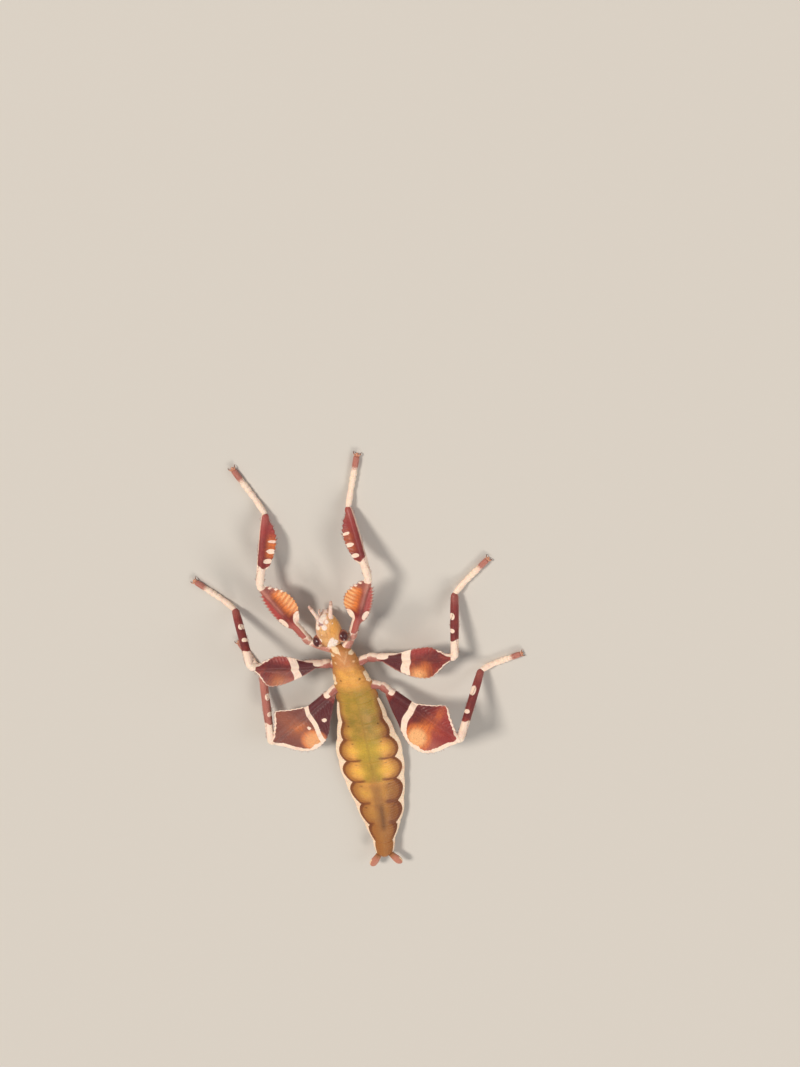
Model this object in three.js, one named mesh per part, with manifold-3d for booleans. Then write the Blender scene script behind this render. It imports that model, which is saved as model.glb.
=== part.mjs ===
// Leaf insect nymph, life size, clinging flat with the head towards -Y and its left side towards +X.
// Millimetres, +Z up. The origin is under the middle of the insect, on the floor it rests on.
import * as THREE from 'three';
import { LoftGeometry } from 'three/addons/geometries/LoftGeometry.js';
import { mergeVertices } from 'three/addons/utils/BufferGeometryUtils.js';
import Module from 'manifold-3d';

const wasm = await Module();
wasm.setup();

// ---- Driving dimensions -------------------------------------------------------------------------
const GAP = 0.04; // thin cut that parts one sclerite from the next
const FINEST = 0.01; // cuts leave no detail finer than this
const FLANGE = 0.26; // half thickness of a leaf-like lobe or margin
const FEMUR_CORE = 0.34; // half thickness of a femur's shaft
const TIBIA_CORE = 0.3;
const COXA_CORE = 0.28;
const TARSUS_RADIUS = 0.27;
const ANKLE_HEIGHT = 0.36;
const TOE_HEIGHT = 0.24;
const HEAD_YAW = THREE.MathUtils.degToRad(7.5); // the head looks a little to the insect's left
const HEAD_DROP = THREE.MathUtils.degToRad(14); // and its face slopes down
const EYE_RADIUS = 0.35;
const EYE_OUT = 0.66; // from the head's middle plane to the middle of an eye
const EYE_ALONG = 0.25; // share of the head's length from its back to the middle of an eye
const EYE_RAISE = 0.1; // above the middle of the head
const EYE_BULGE = 0.3; // radius of an eye across the head
const ANTENNA_LENGTH = 1.05;
const ANTENNA_RADIUS = 0.26;

// The middle line of the body, seen from above and from the side: [y, x] and [y, z].
const SPINE_X = profile([[-2.8, 1.46], [-2.2, 1.12], [-1.0, 0.93], [0.4, 0.76], [2.5, 0.67],
  [4.5, 0.66], [7.0, 0.63], [9.5, 0.56], [11.4, 0.67], [12.9, 0.78]]);
const SPINE_Z = profile([[-2.8, 1.38], [-2.2, 1.36], [-1.0, 1.32], [0.4, 1.22], [2.5, 0.9],
  [5.2, 0.5], [7.5, 0.4], [9.8, 0.42], [11.6, 0.58], [12.9, 0.74]]);

// Where one body ring ends and the next begins, along Y.
const THORAX_RINGS = [['pronotum', -2.66, -2.16], ['mesothorax', -2.16, -0.36], ['metathorax', -0.36, 0.35]];
const ABDOMEN_CUTS = [0.35, 1.03, 2.55, 3.87, 5.52, 7.06, 8.7, 10.21, 11.38, 12.5];

// Half width of the body without scallops, and half thickness of its middle, along Y.
const BODY_WIDTH = profile([[-2.8, 0.5], [-2.2, 0.62], [-1.5, 0.76], [-0.4, 1.0], [0.35, 1.08], [1.35, 1.2],
  [3.35, 1.53], [4.3, 1.74], [5.3, 1.83], [6.2, 1.79], [7.0, 1.71], [8.0, 1.54], [9.0, 1.37], [10.0, 1.14],
  [11.0, 0.8], [12.0, 0.56], [12.5, 0.5]]);
const BODY_CORE = profile([[-2.8, 0.4], [-2.2, 0.47], [-1.0, 0.56], [0.4, 0.56], [3.0, 0.52], [7.0, 0.44],
  [10.0, 0.38], [12.5, 0.32]]);
const CERCUS_LENGTH = 1.1;
const SCALLOP = 0.06; // how far each abdominal ring bulges beyond the notch before it

// Lengths of the three pairs of legs: hip to knee, knee to ankle, ankle to claws.
const LEG_LENGTH = {
  fore: { femur: 4.48, tibia: 3.69, tarsus: 2.88 },
  middle: { femur: 4.55, tibia: 3.37, tarsus: 2.58 },
  hind: { femur: 5.09, tibia: 3.87, tarsus: 2.31 },
};
// Pose of each leg: where its hip is, how high its knee is held, and the heading of each length in
// degrees, counterclockwise from the insect's left.
const LEG_POSE = {
  fore_left: { hip: [2.74, -2.8, 0.98], knee: 1.5, headings: [295.5, 257, 294.5] },
  fore_right: { hip: [0.5, -2.84, 1.0], knee: 2.1, headings: [250.4, 281.2, 253.4] },
  middle_left: { hip: [1.88, -1.41, 1.15], knee: 3.13, headings: [336.7, 292.5, 313.7] },
  middle_right: { hip: [-0.18, -1.54, 1.15], knee: 1.47, headings: [175.8, 263.3, 222.8] },
  hind_left: { hip: [1.71, 0.17, 1.15], knee: 1.28, headings: [37.2, 268.5, 293.1] },
  hind_right: { hip: [-0.63, 0.32, 1.15], knee: 2.86, headings: [143.6, 240.2, 196.8] },
};
const COXA_ROOT_Y = { fore: -2.38, middle: -1.3, hind: 0.05 }; // where a coxa leaves the middle of the thorax
const COXA_ROOT_OUT = 0.6; // and how far out, as a share of the thorax's half width
const COXA_SHARE = 0.1; // share of the hip to knee length that the coxa and trochanter take

// Outline of each leg length, as its reach in front of and behind the shaft along its length from 0 to 1.
// The femora and the fore tibiae carry the leaf-like lobes.
const OUTLINE = {
  fore_femur: {
    front: profile([[0, 0.27], [0.24, 0.3], [0.36, 0.62], [0.5, 0.92], [0.66, 1.0], [0.8, 0.82],
      [0.92, 0.42], [1, 0.28]]),
    back: profile([[0, 0.27], [0.2, 0.36], [0.4, 0.58], [0.6, 0.58], [0.8, 0.46], [0.92, 0.32], [1, 0.28]]),
  },
  middle_femur: {
    front: profile([[0, 0.27], [0.2, 0.32], [0.4, 0.44], [0.55, 0.62], [0.7, 0.7], [0.8, 0.5], [0.9, 0.33],
      [1, 0.28]]),
    back: profile([[0, 0.27], [0.14, 0.42], [0.3, 0.9], [0.45, 1.28], [0.58, 1.42], [0.7, 1.34], [0.8, 0.94],
      [0.9, 0.46], [1, 0.28]]),
  },
  hind_femur: {
    front: profile([[0, 0.27], [0.14, 0.32], [0.28, 0.36], [0.4, 0.44], [0.54, 0.88], [0.66, 1.3],
      [0.78, 0.82], [0.9, 0.38], [1, 0.28]]),
    back: profile([[0, 0.27], [0.08, 0.5], [0.2, 0.92], [0.32, 1.32], [0.45, 1.82], [0.58, 2.1], [0.74, 2.02],
      [0.86, 1.5], [0.94, 0.76], [1, 0.3]]),
  },
  fore_tibia: {
    front: profile([[0, 0.27], [0.18, 0.3], [0.34, 0.54], [0.5, 0.68], [0.7, 0.7], [0.84, 0.5], [0.94, 0.32],
      [1, 0.27]]),
    back: profile([[0, 0.27], [0.3, 0.3], [0.6, 0.32], [0.9, 0.28], [1, 0.27]]),
  },
  middle_tibia: {
    front: profile([[0, 0.27], [0.3, 0.3], [0.7, 0.32], [1, 0.27]]),
    back: profile([[0, 0.27], [0.3, 0.29], [0.7, 0.3], [1, 0.27]]),
  },
  hind_tibia: {
    front: profile([[0, 0.27], [0.3, 0.3], [0.7, 0.33], [1, 0.27]]),
    back: profile([[0, 0.27], [0.3, 0.29], [0.7, 0.31], [1, 0.27]]),
  },
};

// ---- Finishes -----------------------------------------------------------------------------------
const CHITIN = {
  thorax: { color: 0xc98a3a, roughness: 0.55, metalness: 0 },
  abdomen: { color: 0xa3a23c, roughness: 0.6, metalness: 0 },
  tail: { color: 0xb08a72, roughness: 0.6, metalness: 0 },
  head: { color: 0xd0924a, roughness: 0.55, metalness: 0 },
  pale: { color: 0xe8d2bd, roughness: 0.5, metalness: 0 },
  lobe: { color: 0x7a2a26, roughness: 0.5, metalness: 0 },
  eye: { color: 0x3a0f14, roughness: 0.25, metalness: 0 },
};

// ---- Shape helpers ------------------------------------------------------------------------------
// A smooth curve through [position, value] stops, level beyond its first and last stop.
function profile(stops) {
  const slope = (i) => {
    const before = stops[Math.max(i - 1, 0)];
    const after = stops[Math.min(i + 1, stops.length - 1)];
    return (after[1] - before[1]) / (after[0] - before[0]);
  };
  return (position) => {
    if (position <= stops[0][0]) return stops[0][1];
    const next = stops.findIndex((stop) => stop[0] >= position);
    if (next < 0) return stops[stops.length - 1][1];
    const [start, end] = [stops[next - 1], stops[next]];
    const span = end[0] - start[0];
    const t = (position - start[0]) / span;
    const rise = t * t * (3 - 2 * t);
    const bend = span * (t * (1 - t) ** 2 * slope(next - 1) - t * t * (1 - t) * slope(next));
    return start[1] + (end[1] - start[1]) * rise + bend;
  };
}

// One closed cross-section: a thick core in the middle, thinning to a flange on each side with a round edge.
// `front` and `back` are its reaches along `side`, `core` and `flange` its half thicknesses along `up`.
function section({ centre, side, up, front, back, core, flange, points }) {
  const ring = [];
  for (let i = 0; i < points; i++) {
    const angle = (2 * Math.PI * i) / points;
    const across = Math.cos(angle);
    const reach = across * (across > 0 ? front : back);
    const edge = Math.sqrt(Math.max(0, 1 - across ** 4));
    const crown = Math.max(0, 1 - across * across) ** 2;
    const above = Math.sign(Math.round(Math.sin(angle) * 1e6));
    const thickness = above * (flange * edge + (core - flange) * crown);
    ring.push(centre.clone().addScaledVector(side, reach).addScaledVector(up, thickness));
  }
  return ring;
}

// A solid lofted through cross-sections. Each must run counterclockwise seen from the loft's far end, so
// they are turned round where they don't.
function loft(sections) {
  const [first, second] = sections;
  const quarter = first.length / 4;
  const onward = second[0].clone().sub(first[0]).add(second[2 * quarter]).sub(first[2 * quarter]);
  const facing = new THREE.Vector3().crossVectors(
    first[0].clone().sub(first[2 * quarter]),
    first[Math.floor(quarter)].clone().sub(first[Math.ceil(3 * quarter)]),
  );
  const ordered = facing.dot(onward) > 0 ? sections : sections.map((ring) => [...ring].reverse());
  return solidOf(new LoftGeometry(ordered, { closed: true, capStart: true, capEnd: true }));
}

// The exact solid of a closed geometry, joined at its shared corners.
function solidOf(geometry) {
  const bare = new THREE.BufferGeometry();
  bare.setAttribute('position', geometry.attributes.position);
  bare.setIndex(geometry.index);
  const merged = mergeVertices(bare, 1e-4);
  const vertProperties = Float32Array.from(merged.attributes.position.array);
  const triVerts = Uint32Array.from(merged.index.array);
  return new wasm.Manifold(new wasm.Mesh({ numProp: 3, vertProperties, triVerts }));
}

function meshOf(name, solid, finish) {
  const { vertProperties, triVerts } = mainBody(solid).getMesh();
  const geometry = new THREE.BufferGeometry();
  geometry.setAttribute('position', new THREE.BufferAttribute(Float32Array.from(vertProperties), 3));
  geometry.setIndex(new THREE.BufferAttribute(Uint32Array.from(triVerts), 1));
  geometry.computeVertexNormals();
  const mesh = new THREE.Mesh(geometry, new THREE.MeshStandardMaterial(CHITIN[finish]));
  mesh.name = name;
  return mesh;
}

// Keeps what lies beyond a plane through `point`, on the side that `normal` points to, less half the cut.
function keepBeyond(solid, point, normal) {
  return solid.trimByPlane(normal.toArray(), normal.dot(point) + GAP / 2);
}

// The same shape a little larger all round: the room its neighbour leaves for it.
function withClearance(solid) {
  const { min, max } = solid.boundingBox();
  const middle = min.map((low, i) => (low + max[i]) / 2);
  const growth = min.map((low, i) => 1 + (2 * GAP) / (max[i] - low));
  return solid.translate(middle.map((m) => -m)).scale(growth).translate(middle);
}

// The largest body of a cut solid, without the slivers that a cut can leave.
function mainBody(solid) {
  const bodies = solid.simplify(FINEST).decompose();
  return bodies.reduce((best, body) => (body.volume() > best.volume() ? body : best));
}

const FLOOR_NORMAL = [0, 0, 1];
const onFloor = (solid) => solid.trimByPlane(FLOOR_NORMAL, 0);

// ---- Thorax and abdomen -------------------------------------------------------------------------
const X_AXIS = new THREE.Vector3(1, 0, 0);
const Z_AXIS = new THREE.Vector3(0, 0, 1);

function bodySection(y, bulge, points) {
  const reach = BODY_WIDTH(y) + bulge;
  return section({
    centre: new THREE.Vector3(SPINE_X(y), y, SPINE_Z(y)),
    side: X_AXIS, up: Z_AXIS, front: reach, back: reach, core: BODY_CORE(y), flange: FLANGE, points,
  });
}

function bodyRing(from, to, bulgeAt, steps, points) {
  const sections = [];
  for (let i = 0; i <= steps; i++) {
    const share = i / steps;
    const y = THREE.MathUtils.lerp(from + GAP / 2, to - GAP / 2, share);
    sections.push(bodySection(y, bulgeAt(share), points));
  }
  return onFloor(loft(sections));
}

const RING_STEPS = 4;
const RING_POINTS = 16;
const flatSided = () => 0;
const scalloped = (share) => SCALLOP * (Math.sin(Math.PI * share) ** 0.8 - 0.4);

const thorax = THORAX_RINGS.map(([name, from, to]) => ({
  name,
  solid: bodyRing(from, to, flatSided, RING_STEPS, RING_POINTS),
}));
const abdomen = ABDOMEN_CUTS.slice(1).map((to, i) => ({
  name: `abdomen_${String(i + 2).padStart(2, '0')}`,
  solid: bodyRing(ABDOMEN_CUTS[i], to, scalloped, RING_STEPS, RING_POINTS),
}));

const CERCUS_OUT = 0.3; // from the middle of the tail to the middle of a cercus's root
const CERCUS_CORE = 0.26;

function cercus(mirror) {
  const tailY = ABDOMEN_CUTS[ABDOMEN_CUTS.length - 1];
  const root = new THREE.Vector3(SPINE_X(tailY) + mirror * CERCUS_OUT, tailY - 0.15, SPINE_Z(tailY));
  const away = new THREE.Vector3(mirror * 0.72, 1, 0.06).normalize();
  const side = new THREE.Vector3().crossVectors(Z_AXIS, away).normalize();
  const up = new THREE.Vector3().crossVectors(away, side);
  const reach = profile([[0, 0.28], [0.5, 0.3], [0.85, 0.26], [1, 0.12]]);
  const sections = [];
  for (let i = 0; i <= 5; i++) {
    const share = i / 5;
    const half = reach(share);
    const thick = Math.min(half, CERCUS_CORE);
    sections.push(section({
      centre: root.clone().addScaledVector(away, CERCUS_LENGTH * share),
      side, up, front: half, back: half, core: thick, flange: thick * 0.8, points: 8,
    }));
  }
  const behind = keepBeyond(loft(sections), new THREE.Vector3(0, tailY, 0), new THREE.Vector3(0, 1, 0));
  return keepBeyond(behind, new THREE.Vector3(SPINE_X(tailY), 0, 0), new THREE.Vector3(mirror, 0, 0));
}

// ---- Head ---------------------------------------------------------------------------------------
const HEAD_BACK = new THREE.Vector3(1.5, -2.66, 1.4);
const headTurn = new THREE.Euler(HEAD_DROP, 0, HEAD_YAW, 'ZXY');
// Head directions: `ahead` runs from the neck to the mouth.
const ahead = new THREE.Vector3(0, -1, 0).applyEuler(headTurn);
const headSide = new THREE.Vector3().crossVectors(Z_AXIS, ahead).normalize();
const headUp = new THREE.Vector3().crossVectors(ahead, headSide).normalize();
const HEAD_LENGTH = 1.84;
// Half width and half height of the head along its length.
const HEAD_WIDTH = profile([[0, 0.44], [0.12, 0.6], [0.35, 0.7], [0.6, 0.67], [0.8, 0.55], [0.93, 0.39],
  [1, 0.22]]);
const HEAD_HEIGHT = profile([[0, 0.36], [0.12, 0.49], [0.35, 0.58], [0.6, 0.56], [0.8, 0.47], [0.93, 0.33],
  [1, 0.18]]);

// A place on the head: `along` is a share of its length, `out` and `raise` are millimetres.
function onHead(along, out, raise) {
  return HEAD_BACK.clone()
    .addScaledVector(ahead, along * HEAD_LENGTH)
    .addScaledVector(headSide, out)
    .addScaledVector(headUp, raise);
}

function headCapsule() {
  const sections = [];
  for (let i = 0; i <= 10; i++) {
    const share = i / 10;
    const half = HEAD_WIDTH(share);
    const tall = HEAD_HEIGHT(share);
    sections.push(section({
      centre: onHead(share, 0, 0), side: headSide, up: headUp, front: half, back: half,
      core: tall, flange: tall * 0.82, points: 16,
    }));
  }
  return loft(sections);
}

function ellipsoid(centre, radii, segments) {
  const geometry = new THREE.SphereGeometry(1, segments, segments / 2);
  geometry.scale(...radii);
  const turned = new THREE.Matrix4().makeBasis(headSide, ahead.clone().negate(), headUp);
  geometry.applyMatrix4(turned);
  geometry.translate(centre.x, centre.y, centre.z);
  return solidOf(geometry);
}

function eye(mirror) {
  return ellipsoid(onHead(EYE_ALONG, mirror * EYE_OUT, EYE_RAISE), [EYE_BULGE, EYE_RADIUS, EYE_RADIUS], 16);
}

// Labrum, mandibles and palps as one blunt muzzle under the front of the head.
function mouthparts() {
  const root = onHead(0.72, 0, -0.24);
  const tip = onHead(1.04, 0, -0.52);
  const down = tip.clone().sub(root).normalize();
  const up = new THREE.Vector3().crossVectors(down, headSide).normalize();
  const reach = profile([[0, 0.36], [0.5, 0.38], [0.85, 0.3], [1, 0.16]]);
  const sections = [];
  for (let i = 0; i <= 5; i++) {
    const share = i / 5;
    const half = reach(share);
    sections.push(section({
      centre: root.clone().lerp(tip, share), side: headSide, up, front: half, back: half,
      core: half * 0.78, flange: half * 0.62, points: 12,
    }));
  }
  return loft(sections);
}

function antenna(mirror) {
  const root = onHead(0.84, mirror * 0.27, 0.12);
  const reachPoint = onHead(0.84, mirror * 0.62, 0.42).addScaledVector(ahead, ANTENNA_LENGTH);
  const away = reachPoint.clone().sub(root).normalize();
  const side = new THREE.Vector3().crossVectors(Z_AXIS, away).normalize();
  const up = new THREE.Vector3().crossVectors(away, side);
  const reach = profile([[0, 1], [0.25, 1.02], [0.6, 0.94], [0.9, 0.98], [0.97, 0.8], [1, 0.5]]);
  const sections = [];
  for (let i = 0; i <= 6; i++) {
    const share = i / 6;
    const half = ANTENNA_RADIUS * reach(share);
    sections.push(section({
      centre: root.clone().lerp(reachPoint, share), side, up, front: half, back: half,
      core: half, flange: half * 0.9, points: 8,
    }));
  }
  return loft(sections);
}

// ---- Legs ---------------------------------------------------------------------------------------
// The end of a length that starts at `from`, runs at `heading` and finishes at height `toHeight`.
function reachOf(from, length, heading, toHeight) {
  const rise = toHeight - from.z;
  const run = Math.sqrt(length * length - rise * rise);
  const turn = THREE.MathUtils.degToRad(heading);
  return new THREE.Vector3(from.x + run * Math.cos(turn), from.y + run * Math.sin(turn), toHeight);
}

// One leg length lofted from `from` to `to`, lying past both ends by `over` so that the joints can part it.
function legLength({ from, to, mirror, front, back, core, flange, steps, points, over }) {
  const along = to.clone().sub(from);
  const length = along.length();
  along.normalize();
  const side = new THREE.Vector3().crossVectors(Z_AXIS, along).normalize().multiplyScalar(mirror);
  const up = new THREE.Vector3().crossVectors(along, side).normalize();
  const sections = [];
  const stations = [-over / length];
  for (let i = 0; i <= steps; i++) stations.push(i / steps);
  stations.push(1 + over / length);
  for (const share of stations) {
    const held = THREE.MathUtils.clamp(share, 0, 1);
    sections.push(section({
      centre: from.clone().addScaledVector(along, share * length), side, up,
      front: front(held), back: back(held), core, flange, points,
    }));
  }
  return loft(sections);
}

const unit = (from, to) => to.clone().sub(from).normalize();
// The plane that halves the bend at a joint, as its normal.
const halving = (before, joint, after) => unit(before, joint).add(unit(joint, after)).normalize();

function tarsusSolid(ankle, toe, mirror, length) {
  const along = toe.clone().sub(ankle).setZ(0).normalize();
  const side = new THREE.Vector3().crossVectors(Z_AXIS, along).multiplyScalar(mirror);
  const up = Z_AXIS.clone();
  const height = profile([[0, ANKLE_HEIGHT], [0.35, TARSUS_RADIUS + 0.01], [1, TOE_HEIGHT]]);
  const reach = profile([[0, 1], [0.3, 0.96], [0.8, 0.96], [0.9, 1.14], [0.97, 1.0], [1, 0.6]]);
  const over = 0.3 / length;
  const run = Math.hypot(toe.x - ankle.x, toe.y - ankle.y);
  const sections = [];
  for (const share of [-over, 0, 0.2, 0.4, 0.6, 0.8, 0.9, 0.97, 1]) {
    const half = TARSUS_RADIUS * reach(Math.max(share, 0));
    const centre = ankle.clone().addScaledVector(along, share * run).setZ(height(Math.max(share, 0)));
    sections.push(section({
      centre, side, up, front: half, back: half, core: Math.min(half, TARSUS_RADIUS),
      flange: 0.9 * Math.min(half, TARSUS_RADIUS), points: 8,
    }));
  }
  return loft(sections);
}

function leg(key) {
  const [pair, hand] = key.split('_');
  const mirror = hand === 'left' ? -1 : 1;
  const pose = LEG_POSE[key];
  const lengths = LEG_LENGTH[pair];
  const hip = new THREE.Vector3(...pose.hip);
  const knee = reachOf(hip, lengths.femur, pose.headings[0], pose.knee);
  const ankle = reachOf(knee, lengths.tibia, pose.headings[1], ANKLE_HEIGHT);
  const toe = reachOf(ankle, lengths.tarsus, pose.headings[2], TOE_HEIGHT);
  const rootY = COXA_ROOT_Y[pair];
  const rootX = SPINE_X(rootY) - mirror * COXA_ROOT_OUT * BODY_WIDTH(rootY);
  const root = new THREE.Vector3(rootX, rootY, SPINE_Z(rootY) - 0.06);
  const shoulder = hip.clone().lerp(knee, COXA_SHARE);
  const femurStart = hip.clone().lerp(knee, COXA_SHARE * 0.5);

  const hipPlane = unit(hip, knee);
  const kneePlane = halving(hip, knee, ankle);
  const anklePlane = halving(knee, ankle, toe);
  const coxaOutline = profile([[0, 0.31], [0.6, 0.29], [1, 0.27]]);

  const trochanter = legLength({
    from: hip, to: shoulder, mirror, front: coxaOutline, back: coxaOutline,
    core: COXA_CORE, flange: FLANGE, steps: 1, points: 8, over: 0.2,
  });
  const stump = legLength({
    from: root, to: hip, mirror, front: coxaOutline, back: coxaOutline,
    core: COXA_CORE, flange: FLANGE, steps: 3, points: 8, over: 0.05,
  });
  const coxa = keepBeyond(stump.add(trochanter), shoulder, hipPlane.clone().negate());

  const femurShape = OUTLINE[`${pair}_femur`];
  const femurWhole = legLength({
    from: femurStart, to: knee, mirror, front: femurShape.front, back: femurShape.back,
    core: FEMUR_CORE, flange: FLANGE, steps: 12, points: 12, over: 0.25,
  });
  const femur = keepBeyond(keepBeyond(femurWhole, shoulder, hipPlane), knee, kneePlane.clone().negate());

  const tibiaShape = OUTLINE[`${pair}_tibia`];
  const tibiaWhole = legLength({
    from: knee, to: ankle, mirror, front: tibiaShape.front, back: tibiaShape.back,
    core: TIBIA_CORE, flange: FLANGE, steps: pair === 'fore' ? 8 : 5, points: 8, over: 0.22,
  });
  const tibia = keepBeyond(keepBeyond(tibiaWhole, knee, kneePlane), ankle, anklePlane.clone().negate());

  const tarsus = keepBeyond(tarsusSolid(ankle, toe, mirror, lengths.tarsus), ankle, anklePlane);
  return { coxa, femur, tibia, tarsus: onFloor(tarsus) };
}

// ---- The whole insect ---------------------------------------------------------------------------
const insect = new THREE.Group();
insect.name = 'leaf_insect_nymph';

const eyes = { left: eye(1), right: eye(-1) };
const eyeRoom = [withClearance(eyes.left), withClearance(eyes.right)];
let head = headCapsule().subtract(withClearance(thorax[0].solid));
for (const room of eyeRoom) head = head.subtract(room);
const headRoom = withClearance(headCapsule());
insect.add(meshOf('head', head, 'head'));
insect.add(meshOf('eye_left', eyes.left, 'eye'));
insect.add(meshOf('eye_right', eyes.right, 'eye'));
insect.add(meshOf('mouthparts', mouthparts().subtract(headRoom), 'pale'));
insect.add(meshOf('antenna_left', antenna(1).subtract(headRoom), 'pale'));
insect.add(meshOf('antenna_right', antenna(-1).subtract(headRoom), 'pale'));

for (const { name, solid } of thorax) insect.add(meshOf(name, solid, 'thorax'));
for (const { name, solid } of abdomen) insect.add(meshOf(name, solid, 'abdomen'));
insect.add(meshOf('cercus_left', cercus(1), 'tail'));
insect.add(meshOf('cercus_right', cercus(-1), 'tail'));

const trunkRoom = [...thorax, abdomen[0], abdomen[1]].map(({ solid }) => withClearance(solid));
const makeRoom = (solid, rooms) => rooms.reduce((left, room) => left.subtract(room), solid);
for (const key of Object.keys(LEG_POSE)) {
  const parts = leg(key);
  insect.add(meshOf(`coxa_${key}`, makeRoom(parts.coxa, [headRoom, ...eyeRoom, ...trunkRoom]), 'pale'));
  insect.add(meshOf(`femur_${key}`, makeRoom(parts.femur, trunkRoom), 'lobe'));
  insect.add(meshOf(`tibia_${key}`, parts.tibia, 'lobe'));
  insect.add(meshOf(`tarsus_${key}`, parts.tarsus, 'pale'));
}

export default insect;
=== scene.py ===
import math
import bpy
import numpy as np
from mathutils import Matrix, Vector


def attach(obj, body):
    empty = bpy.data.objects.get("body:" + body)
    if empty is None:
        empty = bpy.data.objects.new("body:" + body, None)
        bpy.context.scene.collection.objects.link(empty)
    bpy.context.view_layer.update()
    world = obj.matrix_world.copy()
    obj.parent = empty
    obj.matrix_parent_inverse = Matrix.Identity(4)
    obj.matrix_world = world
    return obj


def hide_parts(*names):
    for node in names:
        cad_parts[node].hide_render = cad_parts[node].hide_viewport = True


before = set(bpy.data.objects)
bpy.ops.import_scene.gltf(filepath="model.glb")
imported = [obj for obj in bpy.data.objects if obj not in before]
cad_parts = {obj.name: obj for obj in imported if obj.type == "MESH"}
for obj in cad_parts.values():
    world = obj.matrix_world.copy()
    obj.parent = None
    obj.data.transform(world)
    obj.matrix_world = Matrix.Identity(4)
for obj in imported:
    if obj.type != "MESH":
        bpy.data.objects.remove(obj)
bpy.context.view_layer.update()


# ---- Floor, lights and camera --------------------------------------------------------------------
# The insect lies on a plain pale floor under three soft, round studio lights. The camera looks down at a
# slant over the head and is rolled so that the head points up in the view.
MM = 0.001
HALF_FLOOR = 1.0
FLOOR_COLOUR = (0.60, 0.57, 0.53, 1)
floor_mesh = bpy.data.meshes.new("floor")
floor_corners = [(x * HALF_FLOOR, y * HALF_FLOOR, 0) for x, y in ((-1, -1), (1, -1), (1, 1), (-1, 1))]
floor_mesh.from_pydata(floor_corners, [], [(0, 1, 2, 3)])
floor = bpy.data.objects.new("floor", floor_mesh)
bpy.context.scene.collection.objects.link(floor)
floor_paint = bpy.data.materials.new("pale floor")
floor_paint.use_nodes = True
floor_shader = floor_paint.node_tree.nodes["Principled BSDF"]
floor_shader.inputs["Base Color"].default_value = FLOOR_COLOUR
floor_shader.inputs["Roughness"].default_value = 0.85
floor_mesh.materials.append(floor_paint)

world = bpy.data.worlds.new("studio")
bpy.context.scene.world = world
world.use_nodes = True
world.node_tree.nodes["Background"].inputs["Color"].default_value = (1.0, 0.98, 0.95, 1)
world.node_tree.nodes["Background"].inputs["Strength"].default_value = 0.3

# place and width in metres, watts and tint of each light, all turned towards the insect's middle
for name, place, width, watts, tint in (
        ("key", (1.3, -1.2, 1.9), 0.6, 52, (1.0, 0.93, 0.84)),
        ("fill", (-1.9, -0.4, 1.3), 1.6, 10, (0.95, 0.97, 1.0)),
        ("rim", (-0.6, 1.9, 1.2), 0.7, 22, (1.0, 0.93, 0.84))):
    light = bpy.data.lights.new(name, "AREA")
    light.shape = "DISK"
    light.size = width
    light.energy = watts
    light.color = tint
    lamp = bpy.data.objects.new(name, light)
    lamp.location = place
    lamp.rotation_euler = (-lamp.location).to_track_quat("-Z", "Y").to_euler()
    bpy.context.scene.collection.objects.link(lamp)

VIEW_AIM = Vector((-2.70, -8.12, 0)) * MM
VIEW_DISTANCE = 78.5 * MM
VIEW_ELEVATION = math.radians(60)
VIEW_HEADING = math.radians(-7.16)
LENS_MM, SENSOR_MM = 52, 36
NEAREST_SEEN, FARTHEST_SEEN = 0.002, 10
headwards = Vector((math.sin(VIEW_HEADING), -math.cos(VIEW_HEADING), 0))
backwards = headwards * math.cos(VIEW_ELEVATION) + Vector((0, 0, math.sin(VIEW_ELEVATION)))
view_up = (headwards - headwards.dot(backwards) * backwards).normalized()
view_right = view_up.cross(backwards)
camera_data = bpy.data.cameras.new("camera")
camera_data.lens = LENS_MM
camera_data.sensor_width = SENSOR_MM
camera_data.clip_start = NEAREST_SEEN
camera_data.clip_end = FARTHEST_SEEN
camera = bpy.data.objects.new("camera", camera_data)
camera.matrix_world = Matrix.Translation(VIEW_AIM + VIEW_DISTANCE * backwards) @ Matrix(
    (view_right, view_up, backwards)).transposed().to_4x4()
bpy.context.scene.collection.objects.link(camera)
bpy.context.scene.camera = camera
bpy.context.scene.view_settings.view_transform = "Standard"


# ---- Trunk: thorax, abdomen and cerci ------------------------------------------------------------
# One thin cuticle from the neck to the tail: a narrow thorax that widens backwards, then a flat,
# leaf-like abdomen with a scalloped margin. The gut shows green through its middle, and each ring has a
# yellow spot on both sides, inside a brown border. Millimetres throughout, made into metres last.
INSET = 0.03            # how far the skin lies inside the solid that stands for it
TRUNK_EDGE = 0.075      # half thickness of the thin margin
SCALLOP = 0.06          # how far each ring's margin bulges
PRONOTUM_END, MESOTHORAX_END, THORAX_END = -2.16, -0.36, 0.35
RING_CUTS = np.array([THORAX_END, 1.03, 2.55, 3.87, 5.52, 7.06, 8.7, 10.21, 11.38, 12.5])
NECK_Y, TAIL_Y = -2.9, 12.47
TRUNK_ROWS, TRUNK_COLUMNS = 820, 104


def curve_through(stops):
    """A smooth curve through (place, value) stops: cubic between two stops, with each stop's slope taken
    from its neighbours, and level beyond the ends."""
    places, values = np.array(stops, float).T
    before = np.maximum(np.arange(len(places)) - 1, 0)
    after = np.minimum(np.arange(len(places)) + 1, len(places) - 1)
    slopes = (values[after] - values[before]) / (places[after] - places[before])

    def value_at(place):
        """The cubic's value: its two stops mixed by an S, plus a bend that gives the slopes."""
        held = np.clip(place, places[0], places[-1])
        start = np.clip(np.searchsorted(places, held, side="right") - 1, 0, len(places) - 2)
        span = places[start + 1] - places[start]
        t = (held - places[start]) / span
        rise = t * t * (3 - 2 * t)
        bend = span * (t * (1 - t) ** 2 * slopes[start] - t * t * (1 - t) * slopes[start + 1])
        return values[start] + (values[start + 1] - values[start]) * rise + bend

    return value_at


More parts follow.
